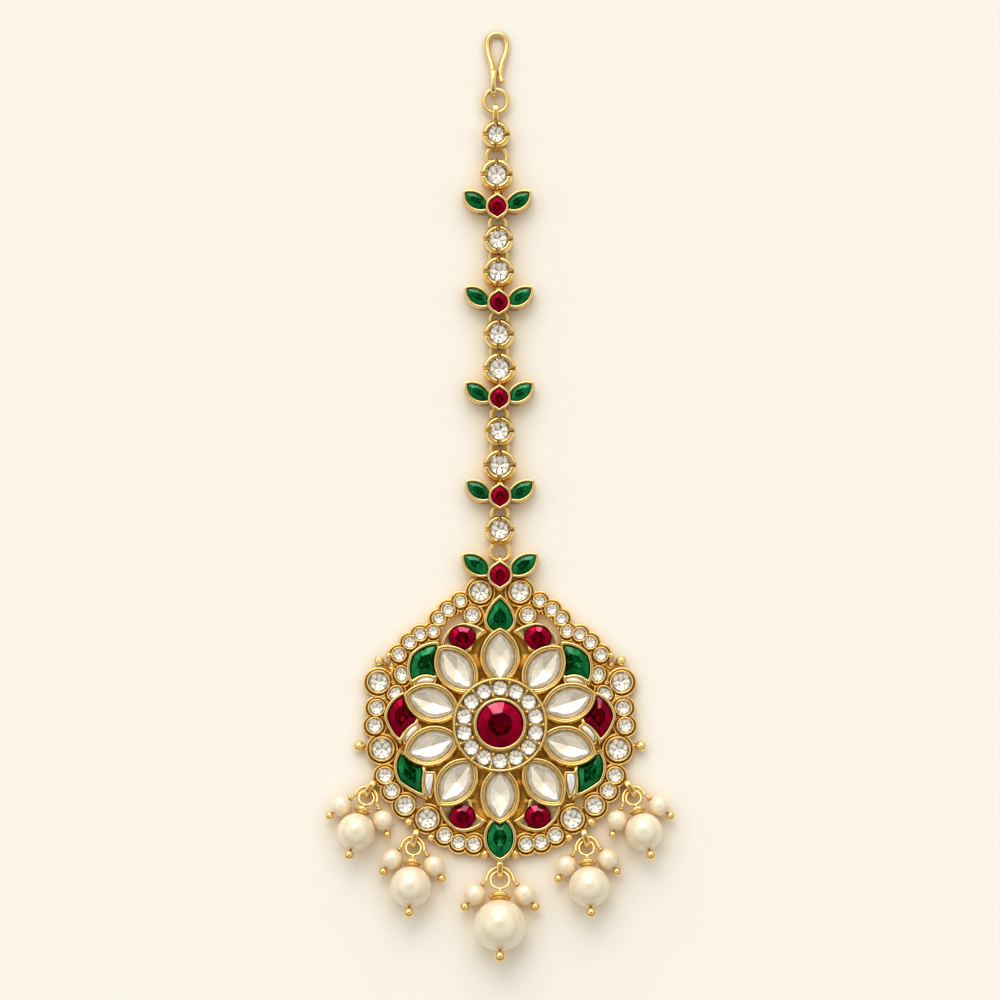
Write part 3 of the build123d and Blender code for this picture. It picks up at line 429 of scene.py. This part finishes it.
def stepped(shape, faces, steps):
    """Draws some faces in and up, step by step."""
    for width, rise in steps:
        bmesh.ops.inset_region(
            shape, faces=faces, thickness=width * MM, depth=rise * MM,
            use_boundary=True, use_even_offset=False,
        )


def rounded_lips(shape):
    """Raises each flat top in small steps, so that every rim and bezel ends in a round lip."""
    tops = [
        face for face in shape.faces
        if face.normal.z > VERY_FLAT and is_top(face.calc_center_median().z / MM, SAME_TOP)
    ]
    stepped(shape, tops, LIP_STEPS)


def floor_kind(face):
    """0 on a top or a wall, 1 on a round ruby's sunk floor, 2 on another floor (darkened as painted shade),
    3 on the halo's floor.
    """
    middle = face.calc_center_median()
    level = middle.z / MM
    if face.normal.z < FLAT or is_top(level, SAME_LEVEL):
        return 0
    for low, high in round_rubies:
        near_stone = (middle - (low + high) / 2).xy.length < RUBY_FLOOR * MM
        if near_stone and abs(level - CELL_FLOOR) < SAME_LEVEL:
            return 1
    return 3 if abs(level - HALO_FLOOR) < SAME_LEVEL else 2


def gold_piece(node, material, lips=True):
    """A gold node's shape with soft lips and round shading, its floors left satin, those between the bezels
    darkened as painted shade.
    """
    shape = merged(node)
    for face in shape.faces:
        face.material_index = floor_kind(face)
    if lips:
        rounded_lips(shape)
    piece = placed(node + "_polished", shape, material, ROSE_GOLD, SHADED_FLOOR_GOLD, HALO_GOLD)
    smooth(piece, METAL_CREASE)
    kept(piece, "gold", node)


round_rubies = [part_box(f"petal_ruby_{number}") for number in (1, 2, 5, 6)]
gold_piece("medallion_frame", CAST_GOLD)
for node in sorted(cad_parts):
    if node.startswith(("round_link", "leaf_link")):
        gold_piece(node, GOLD)
    elif node.startswith(("drop_pin", "drop_arch")) or node == "hook":
        gold_piece(node, GOLD, lips=False)


# ---------------------------------------------------------------- repeated pieces
class Growth(Nodes):
    """A Geometry Nodes tree with named inputs, under construction."""

    def __init__(self, name, inputs):
        super().__init__(bpy.data.node_groups.new(name, "GeometryNodeTree"))
        sockets = self.tree.interface
        sockets.new_socket("Geometry", in_out="INPUT", socket_type="NodeSocketGeometry")
        for title, kind in inputs:
            sockets.new_socket(title, in_out="INPUT", socket_type="NodeSocket" + kind)
        sockets.new_socket("Geometry", in_out="OUTPUT", socket_type="NodeSocketGeometry")
        self.given = self.tree.nodes.new("NodeGroupInput").outputs
        self.end = self.tree.nodes.new("NodeGroupOutput")

    def add(self, kind, inputs, **settings):
        return self.node("GeometryNode" + kind, inputs, **settings)

    def named(self, title, kind):
        """Reads a point's own value."""
        made = self.add("InputNamedAttribute", {"Name": title}, data_type=kind)
        return next(socket for socket in made.outputs if socket.enabled and socket.name == "Attribute")

    def realized(self, geometry):
        """Makes copies real and gives them the body's material."""
        real = self.add("RealizeInstances", {0: geometry}).outputs[0]
        return self.add("SetMaterial", {"Geometry": real, "Material": self.given["Body"]}).outputs[0]

    def finished(self, geometry):
        self.wire(self.end.inputs[0], geometry)
        return self.tree


def copies_tree():
    """One pattern piece set on every point, sized and turned by the point's own values."""
    made = Growth("copies_on_points", (
        ("Pattern", "Object"), ("Size", "Float"), ("Body", "Material"), ("Backing", "Material"),
    ))
    pattern = made.add("ObjectInfo", {"Object": made.given["Pattern"], "As Instance": True})
    grown = made.node("ShaderNodeVectorMath", {}, operation="SCALE")
    made.wire(grown.inputs[0], made.named("reach", "FLOAT_VECTOR"))
    made.wire(grown.inputs["Scale"], made.given["Size"])
    turned = made.node("FunctionNodeEulerToRotation", {0: made.named("turn", "FLOAT_VECTOR")})
    spread = made.add("InstanceOnPoints", {
        "Points": made.given["Geometry"], "Instance": pattern.outputs["Geometry"],
        "Rotation": turned.outputs[0], "Scale": grown.outputs[0],
    })
    backing = made.add("SetMaterial", {
        "Geometry": made.realized(spread.outputs[0]), "Selection": made.named("backed", "BOOLEAN"),
        "Material": made.given["Backing"],
    })
    return made.finished(backing.outputs[0])


def wires_tree():
    """A round wire along every run of edges, as thick as its points say."""
    made = Growth("wires_along_runs", (("Sides", "Int"), ("Size", "Float"), ("Body", "Material")))
    line = made.add("MeshToCurve", {0: made.given["Geometry"]})
    thick = made.node(
        "ShaderNodeMath", {0: made.named("wire", "FLOAT"), 1: made.given["Size"]}, operation="MULTIPLY")
    section = made.add("CurvePrimitiveCircle", {"Radius": 1.0, "Resolution": made.given["Sides"]})
    swept = made.add("CurveToMesh", {
        "Curve": line.outputs[0], "Scale": thick.outputs[0],
        "Profile Curve": section.outputs[0], "Fill Caps": True,
    })
    return made.finished(made.realized(swept.outputs[0]))


COPIES = copies_tree()
WIRES = wires_tree()


def grown_by(tree, name, shape, values):
    """Runs a tree on a mesh of points or runs, and gives back the result as a plain piece."""
    seed = placed(name + "_seed", shape)
    modifier = seed.modifiers.new("grow", "NODES")
    modifier.node_group = tree
    for item in tree.interface.items_tree:
        if item.in_out == "INPUT" and item.name in values:
            modifier[item.identifier] = values[item.name]
    bpy.context.view_layer.update()
    ready = seed.evaluated_get(bpy.context.evaluated_depsgraph_get())
    mesh = bpy.data.meshes.new_from_object(ready)
    mesh.name = name
    seed.modifiers.remove(modifier)
    bpy.data.objects.remove(seed)
    piece = bpy.data.objects.new(name, mesh)
    bpy.context.scene.collection.objects.link(piece)
    return piece


Spot = namedtuple("Spot", "place reach turn")


def point_cloud(spots):
    """Points that carry their own reach in metres and turn in radians."""
    shape = bmesh.new()
    reach = shape.verts.layers.float_vector.new("reach")
    turn = shape.verts.layers.float_vector.new("turn")
    for spot in spots:
        vertex = shape.verts.new(spot.place)
        vertex[reach] = Vector(spot.reach)
        vertex[turn] = Vector(spot.turn)
    return shape


def copies(name, pattern, spots, body, backing=None):
    """A pattern repeated on some spots, as one piece."""
    values = {"Pattern": pattern, "Size": 1.0, "Body": body, "Backing": backing or body}
    return grown_by(COPIES, name, point_cloud(spots), values)


# ---------------------------------------------------------------- rings of the chain and the hook
Ring = namedtuple("Ring", "centre radius gauge")


def ring_sizes(node):
    """Centre, wire centre radius and wire radius of each ring in a node."""
    found = []
    for points in lumps(node):
        low, high = spans(points)
        gauge = (high.z - low.z) / 2
        found.append(Ring((low + high) / 2, (high.x - low.x) / 2 - gauge, gauge))
    return found


def round_runs(rings, steps):
    """Closed circles of edges that carry their wire's radius."""
    shape = bmesh.new()
    wire = shape.verts.layers.float.new("wire")
    for ring in rings:
        run = []
        for step in range(steps):
            angle = 2 * math.pi * step / steps
            reach = Vector((ring.radius * math.cos(angle), ring.radius * math.sin(angle), 0))
            vertex = shape.verts.new(ring.centre + reach)
            vertex[wire] = ring.gauge
            run.append(vertex)
        for step in range(steps):
            shape.edges.new((run[step], run[(step + 1) % steps]))
    return shape


for node, steps in (("chain_rings", 72), ("hook_ring", 96)):
    runs = round_runs(ring_sizes(node), steps)
    rings = grown_by(WIRES, node + "_round", runs, {"Sides": WIRE_SIDES, "Size": 1.0, "Body": GOLD})
    smooth(rings, ROUND_CREASE)
    kept(rings, "gold", node)


# ---------------------------------------------------------------- patterns
def pattern_of(name, shape):
    """A piece that is only copied and isn't shown itself."""
    pattern = placed(name, shape)
    bpy.context.scene.collection.objects.unlink(pattern)
    return pattern


def brilliant():
    """A round cut of unit radius with its table at the origin's height, its pavilion marked as backed."""
    shape = bmesh.new()
    backed = shape.faces.layers.bool.new("backed")

    def ring(tier):
        angles = [2 * math.pi * (number + tier.shift) / tier.count for number in range(tier.count)]
        return [
            shape.verts.new((tier.radius * math.cos(angle), tier.radius * math.sin(angle), -tier.depth))
            for angle in angles
        ]

    table, star, upper, lower, deep = (
        ring(tier) for tier in (TABLE_TIER, STAR_TIER, UPPER_TIER, LOWER_TIER, DEEP_TIER))
    for vertex in deep[::2]:
        vertex.co = vertex.co * TUCK
    culet = shape.verts.new((0, 0, -CULET))
    shape.faces.new(table)
    count = len(table)
    for k in range(count):
        after, before = (k + 1) % count, (k - 1) % count
        girdle = [upper[(2 * k + step) % len(upper)] for step in range(3)]
        keel = [lower[(2 * k + step) % len(lower)] for step in range(3)]
        shape.faces.new((table[k], star[k], table[after]))
        shape.faces.new((table[k], star[before], upper[2 * k], star[k]))
        shape.faces.new((star[k], girdle[0], girdle[1]))
        shape.faces.new((star[k], girdle[1], girdle[2]))
        for step in range(2):
            shape.faces.new((girdle[step], keel[step], keel[step + 1], girdle[step + 1]))
            shape.faces.new((deep[k], keel[step + 1], keel[step]))[backed] = True
        shape.faces.new((culet, deep[k], lower[2 * k], deep[before]))[backed] = True
    bmesh.ops.recalc_face_normals(shape, faces=shape.faces)
    return pattern_of("brilliant_cut", shape)


def ball(name, segments, rings):
    """A round ball of unit radius."""
    shape = bmesh.new()
    bmesh.ops.create_uvsphere(shape, u_segments=segments, v_segments=rings, radius=1.0)
    for face in shape.faces:
        face.smooth = True
    return pattern_of(name, shape)


BRILLIANT = brilliant()
BEAD = ball("grain", 16, 10)
FINE_BALL = ball("fine_ball", 64, 40)
SMALL_BALL = ball("small_ball", 48, 28)


# ---------------------------------------------------------------- clear stones
Stone = namedtuple("Stone", "middle long short height turn")


def stones_of(node):
    """Each round or oval stone in a node."""
    found = []
    for points in lumps(node):
        low, high = spans(points)
        middle = (low + high) / 2
        wide = sum((point.x - middle.x) ** 2 for point in points)
        tall = sum((point.y - middle.y) ** 2 for point in points)
        skew = sum((point.x - middle.x) * (point.y - middle.y) for point in points)
        turn = 0.5 * math.atan2(2 * skew, wide - tall)
        along = Vector((math.cos(turn), math.sin(turn), 0))
        across = Vector((-math.sin(turn), math.cos(turn), 0))
        long = max(abs((point - middle).dot(along)) for point in points)
        short = max(abs((point - middle).dot(across)) for point in points)
        if long < short * OVAL:
            long = short = max((point - middle).xy.length for point in points)
            turn = 0.0
        found.append(Stone(middle, long, short, high.z - low.z, turn))
    return found


def clear_stones(node, grow):
    """Brilliant stones backed with foil, on the places of a node's plain stones."""
    spots = []
    for number, stone in enumerate(stones_of(node)):
        middle = stone.middle
        place = Vector((middle.x, middle.y, middle.z + stone.height / 2))
        reach = (stone.long + grow * MM, stone.short + grow * MM, (stone.long + stone.short) / 2)
        spots.append(Spot(place, reach, (0, 0, stone.turn or STONE_TWIST * number)))
    kept(copies(node + "_cut", BRILLIANT, spots, CLEAR_GLASS, SILVER_FOIL), "clear_stone", node)


for node, grow in (("rim_stones", 0.06), ("halo_stones", 0.1), ("chain_diamonds", 0.06)):
    clear_stones(node, grow)


# ---------------------------------------------------------------- cut stones that follow an outline
Cut = namedtuple("Cut", "corners back girdle top")
Level = namedtuple("Level", "height size outline material")


def cuts_of(node):
    """For each stone of a node: its corners in order, and the heights of its back, girdle and table."""
    shape = merged(node)
    shape.normal_update()
    walls = {vertex for face in shape.faces if abs(face.normal.z) < UPRIGHT for vertex in face.verts}
    found = []
    for group in loose_groups(shape):
        low, high = spans([vertex.co for vertex in group])
        edge_points = [vertex.co.copy() for vertex in group if vertex in walls]
        girdle = max(point.z for point in edge_points)
        loop = [point.xy for point in edge_points if point.z < low.z + SAME_LEVEL * MM]
        middle = sum(loop, Vector((0, 0))) / len(loop)
        loop.sort(key=lambda point: math.atan2(point.y - middle.y, point.x - middle.x))
        corners = []
        for number, point in enumerate(loop):
            before, after = loop[number - 1], loop[(number + 1) % len(loop)]
            if abs((point - before).angle_signed(after - point)) > BEND:
                corners.append(point)
        found.append(Cut(corners, low.z, girdle, high.z))
    shape.free()
    return found


def sharpest(corners):
    """The number of the corner with the tightest turn."""
    def bend(number):
        before, here, after = corners[number - 1], corners[number], corners[(number + 1) % len(corners)]
        return (here - before).angle(after - here)
    return max(range(len(corners)), key=bend)


def chorded(corners, sides):
    """The outline drawn in to a few straight sides that start at its sharpest corner."""
    count, tip = len(corners), sharpest(corners)
    stops = sorted({(tip + round(count * side / sides)) % count for side in range(sides)})
    drawn = list(corners)
    for stop, following in zip(stops, stops[1:] + [stops[0] + count]):
        first, last = corners[stop % count], corners[following % count]
        for number in range(stop + 1, following):
            drawn[number % count] = first.lerp(last, (number - stop) / (following - stop))
    return drawn


def lens_in(corners, length, width):
    """A pointed oval inside an outline, along its longest direction."""
    middle = sum(corners, Vector((0, 0))) / len(corners)
    reaches = [corner - middle for corner in corners]
    wide = sum(reach.x ** 2 - reach.y ** 2 for reach in reaches)
    skew = sum(2 * reach.x * reach.y for reach in reaches)
    turn = 0.5 * math.atan2(skew, wide)
    along, across = Vector((math.cos(turn), math.sin(turn))), Vector((-math.sin(turn), math.cos(turn)))
    ahead = max(reach.dot(along) for reach in reaches)
    behind = -min(reach.dot(along) for reach in reaches)
    aside = max(abs(reach.dot(across)) for reach in reaches)
    drawn = []
    for reach in reaches:
        run, side = reach.dot(along), reach.dot(across)
        part = run / (ahead if run > 0 else behind)
        swell = math.copysign(width * aside * (1 - part ** 2), side)
        drawn.append(middle + along * run * length + across * swell)
    return drawn


def cut_gem(shape, corners, levels, apex, apex_material):
    """Adds one stone: a loop of corners at each level from the table down, each with the material of the
    band above it, then the facets that meet in the apex."""
    middle = sum(corners, Vector((0, 0))) / len(corners)
    loops = []
    for level in levels:
        loops.append([
            shape.verts.new((*(middle + (corner - middle) * level.size), level.height))
            for corner in level.outline
        ])
    point = shape.verts.new((*middle, apex))
    shape.faces.new(loops[0])
    for level, upper, lower in zip(levels[1:], loops, loops[1:]):
        for number in range(len(upper)):
            following = (number + 1) % len(upper)
            face = shape.faces.new((upper[number], lower[number], lower[following], upper[following]))
            face.material_index = level.material
    lowest = loops[-1]
    for number in range(len(lowest)):
        face = shape.faces.new((lowest[number], point, lowest[(number + 1) % len(lowest)]))
        face.material_index = apex_material


def crystal(node):
    """A petal stone: a warm border, a fine pale line, and a pointed oval of eight bright facets."""
    shape = bmesh.new()
    for corners, _, girdle, top in cuts_of(node):
        low = girdle - CRYSTAL_EDGE * MM
        levels = [
            Level(top, CRYSTAL_TABLE, corners, GEM_GLASS),
            Level(girdle + CRYSTAL_RISE * MM, CRYSTAL_SWELL, corners, GEM_GLASS),
            Level(low, CRYSTAL_SWELL, corners, GEM_GLASS),
        ]
        for band in CRYSTAL_BANDS:
            outline = lens_in(corners, band.length, band.width)
            if band.sides:
                outline = chorded(outline, band.sides)
            levels.append(Level(low - band.depth * MM, 1.0, outline, band.material))
        cut_gem(shape, corners, levels, low - CRYSTAL_PIT * MM, BRIGHT)
    bmesh.ops.recalc_face_normals(shape, faces=shape.faces)
    piece = placed(node + "_cut", shape, CRYSTAL_GLASS, WARM_FOIL, BRIGHT_FOIL, PALE_FOIL, FOIL_EDGE)
    kept(piece, "petal_crystal", node)


def gets_painted_highlight(face):
    """Whether a face is the crown facet that faces up the chain and gets the painted highlight."""
    steep, level = HIGHLIGHT_FACET_SLOPES
    if face.material_index != GEM_GLASS or not steep < face.normal.z < level:
        return False
    return face.normal.xy.normalized().y > HIGHLIGHT_FACET_TURN


def coloured(node, slot, glass, foil, sheen):
    """A coloured stone: a table over a shallow pit of foil, and crown facets with foil close behind; the
    facet that faces up the chain gets a painted highlight.
    """
    shape = bmesh.new()
    for corners, back, girdle, top in cuts_of(node):
        reach = sum((corner - corners[0]).length for corner in corners) / len(corners) * REACH_SHARE
        crown = chorded(corners, FACETS)
        girdle = top - min(top - girdle, CROWN_SLOPE * (1 - TABLE_SHARE) * reach)
        low = girdle - GIRDLE * MM
        shoulder = low + SHOULDER * (top - girdle)
        pit = TABLE_SHARE + PIT_RIM
        cut_gem(shape, corners, (
            Level(top, TABLE_SHARE, crown, GEM_GLASS),
            Level(girdle, GIRDLE_SWELL, corners, GEM_GLASS),
            Level(low, GIRDLE_SWELL, corners, GEM_GLASS),
            Level(shoulder, pit, crown, FOIL),
        ), max(back + BACK_GAP * MM, shoulder - PIT_SLOPE * pit * reach), FOIL)
    bmesh.ops.recalc_face_normals(shape, faces=shape.faces)
    # The crown facet facing up the chain gets the brighter glass as a painted highlight.
    for face in shape.faces:
        if gets_painted_highlight(face):
            face.material_index = PAINTED_HIGHLIGHT
    # sheen is the brighter glass of that painted highlight.
    kept(placed(node + "_cut", shape, glass, foil, sheen), slot, node)


for node in sorted(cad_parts):
    if node.startswith("petal_stone"):
        crystal(node)
    elif "ruby" in node or "rubies" in node:
        coloured(node, "ruby", RUBY_GLASS, RUBY_FOIL, RUBY_PAINTED_HIGHLIGHT)
    elif "emerald" in node:
        coloured(node, "emerald", EMERALD_GLASS, EMERALD_FOIL, EMERALD_PAINTED_HIGHLIGHT)


# ---------------------------------------------------------------- white enamel
def enamel():
    """Low domes on the flat tops of the enamel."""
    shape = merged("enamel_crescents")
    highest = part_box("enamel_crescents")[1].z
    tops = [
        face for face in shape.faces
        if face.normal.z > FLAT and face.calc_center_median().z > highest - SAME_LEVEL * MM
    ]
    stepped(shape, tops, DOME_STEPS)
    piece = placed("enamel_domes", shape, ENAMEL)
    smooth(piece, ROUND_CREASE)
    kept(piece, "white_enamel", "enamel_crescents")


enamel()


# ---------------------------------------------------------------- pearls
def long_axis(node):
    """The direction in which a node is longest, from every few of its points."""
    points = [vertex.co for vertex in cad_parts[node].data.vertices]
    middle = sum(points, Vector()) / len(points)
    axis = Vector((0.1, -1, 0.1)).normalized()
    for _ in range(AXIS_ROUNDS):
        pull = Vector()
        for point in points[::POINT_STEP]:
            pull += (point - middle) * (point - middle).dot(axis)
        axis = pull.normalized()
    return axis


def pearls(node, pattern, axis):
    """Round pearls on a node's places, their poles on the wire that runs through them."""
    turn = Vector((0, 0, 1)).rotation_difference(axis).to_euler()
    spots = []
    for points in lumps(node):
        low, high = spans(points)
        reach = (high.x - low.x) / 2
        spots.append(Spot((low + high) / 2, (reach, reach, reach), turn))
    kept(copies(node + "_round", pattern, spots, PEARL), "pearl", node)


axes = [long_axis(f"drop_pin_{number}") for number in range(1, 6)]
for number, axis in enumerate(axes, start=1):
    pearls(f"main_pearl_{number}", FINE_BALL, axis)
pearls("small_pearls", SMALL_BALL, axes[len(axes) // 2])


# ---------------------------------------------------------------- grains of gold
def grain(place, radius, turn=0.0):
    return Spot(place, (radius, radius, radius), (0, 0, turn))


def halo_grains():
    """Two rows of beads that hold the halo's stones, one bead in each gap."""
    ruby_low, ruby_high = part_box("centre_ruby")
    middle = (ruby_low + ruby_high) / 2
    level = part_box("halo_stones")[1].z - HALO_BEAD_DROP * MM
    count = len(lumps("halo_stones"))
    spots = []
    for radius in HALO_BEADS:
        for number in range(count):
            angle = math.pi / 2 + 2 * math.pi * (number + 0.5) / count
            reach = Vector((math.cos(angle), math.sin(angle))) * radius * MM
            place = Vector((middle.x + reach.x, middle.y + reach.y, level))
            spots.append(grain(place, HALO_BEAD * MM, angle))
    return spots


def meeting_points(first, second, reach_first, reach_second):
    """Where two circles on the level cross."""
    line = (second - first).xy
    gap = line.length
    if gap > reach_first + reach_second:
        return []
    along = (gap ** 2 + reach_first ** 2 - reach_second ** 2) / (2 * gap)
    aside = math.sqrt(max(reach_first ** 2 - along ** 2, 0))
    ahead = line.normalized()
    across = Vector((-ahead.y, ahead.x))
    return [first.xy + ahead * along + across * aside * side for side in (1, -1)]


def rim_grains():
    """Grains of gold in the notches between neighbouring rim stones."""
    stones = stones_of("rim_stones")
    spots = []
    for number, here in enumerate(stones):
        for there in stones[:number]:
            gap = (there.middle - here.middle).xy.length - here.long - there.long
            if gap > NEIGHBOURS * MM:
                continue
            margin = max((RIM_COLLET + RIM_GRAIN) * MM, gap / 2 + GRAIN_MARGIN * MM)
            for point in meeting_points(here.middle, there.middle, here.long + margin, there.long + margin):
                clear = min((point - stone.middle.xy).length - stone.long for stone in stones)
                if clear > (RIM_COLLET + 0.5 * RIM_GRAIN) * MM:
                    spots.append(grain(Vector((*point, GRAIN_LEVEL * MM)), RIM_GRAIN * MM))
    return spots


kept(copies("halo_grains", BEAD, halo_grains(), GOLD), "gold")
kept(copies("rim_grains", BEAD, rim_grains(), CAST_GOLD), "gold")


# ---------------------------------------------------------------- table, light and camera
def table_top():
    """A flat square top just under the jewel."""
    shape = bmesh.new()
    level = solids_box[0].z - TABLE_GAP
    sides = ((-1, -1), (1, -1), (1, 1), (-1, 1))
    shape.faces.new([shape.verts.new((x * TABLE_REACH, y * TABLE_REACH, level)) for x, y in sides])
    placed("table", shape, TABLE)


def soft_room():
    """A plain room: grey near the horizon, light above, and broad soft windows."""
    world = bpy.data.worlds.new("soft_room")
    bpy.context.scene.world = world
    made = Finish(world)
    ray = made.add("TexCoord").outputs["Generated"]
    parts = made.add("SeparateXYZ", {"Vector": ray}).outputs
    ring = made.add("ValToRGB", {"Fac": parts["Z"]})
    ring.color_ramp.interpolation = "EASE"
    for number, (height, level) in enumerate(SKY):
        stop = ring.color_ramp.elements[number] if number < 2 else ring.color_ramp.elements.new(height)
        stop.position = height
        share = level / BRIGHTEST
        stop.color = (share, share, share, 1.0)

    def joined(operation, first, second):
        return made.add("Math", {0: first, 1: second}, operation=operation).outputs[0]

    glow = joined("MULTIPLY", ring.outputs["Color"], BRIGHTEST)
    glow = joined("MULTIPLY", glow, made.ranged(parts["Y"], *FAR_SIDE))
    for window in WINDOWS:
        way = Vector(window.direction).normalized()
        facing = made.add("VectorMath", {0: ray, 1: way}, operation="DOT_PRODUCT").outputs["Value"]
        lobe = made.add("MapRange", {
            "Value": facing, "From Min": window.start, "From Max": window.full,
            "To Min": 0.0, "To Max": window.level,
        }, interpolation_type="SMOOTHSTEP")
        glow = joined("ADD", lobe.outputs["Result"], glow)
    tone = made.add("Background", {"Color": (1.0, 0.985, 0.96), "Strength": glow})
    made.add("OutputWorld", {"Surface": tone.outputs[0]})


def camera():
    """A long lens, nearly straight above the jewel."""
    away = VIEW_WIDTH * LENS / SENSOR
    place = AIM + Vector((0, -math.cos(VIEW_RISE), math.sin(VIEW_RISE))) * away
    data = bpy.data.cameras.new("camera")
    data.lens = LENS
    data.sensor_width = SENSOR
    data.clip_start = 0.01
    data.clip_end = 10.0
    eye = bpy.data.objects.new("camera", data)
    bpy.context.scene.collection.objects.link(eye)
    eye.location = place
    eye.rotation_euler = (AIM - place).to_track_quat("-Z", "Y").to_euler()
    bpy.context.scene.camera = eye


table_top()
soft_room()
camera()
bpy.context.scene.view_settings.view_transform = "Standard"
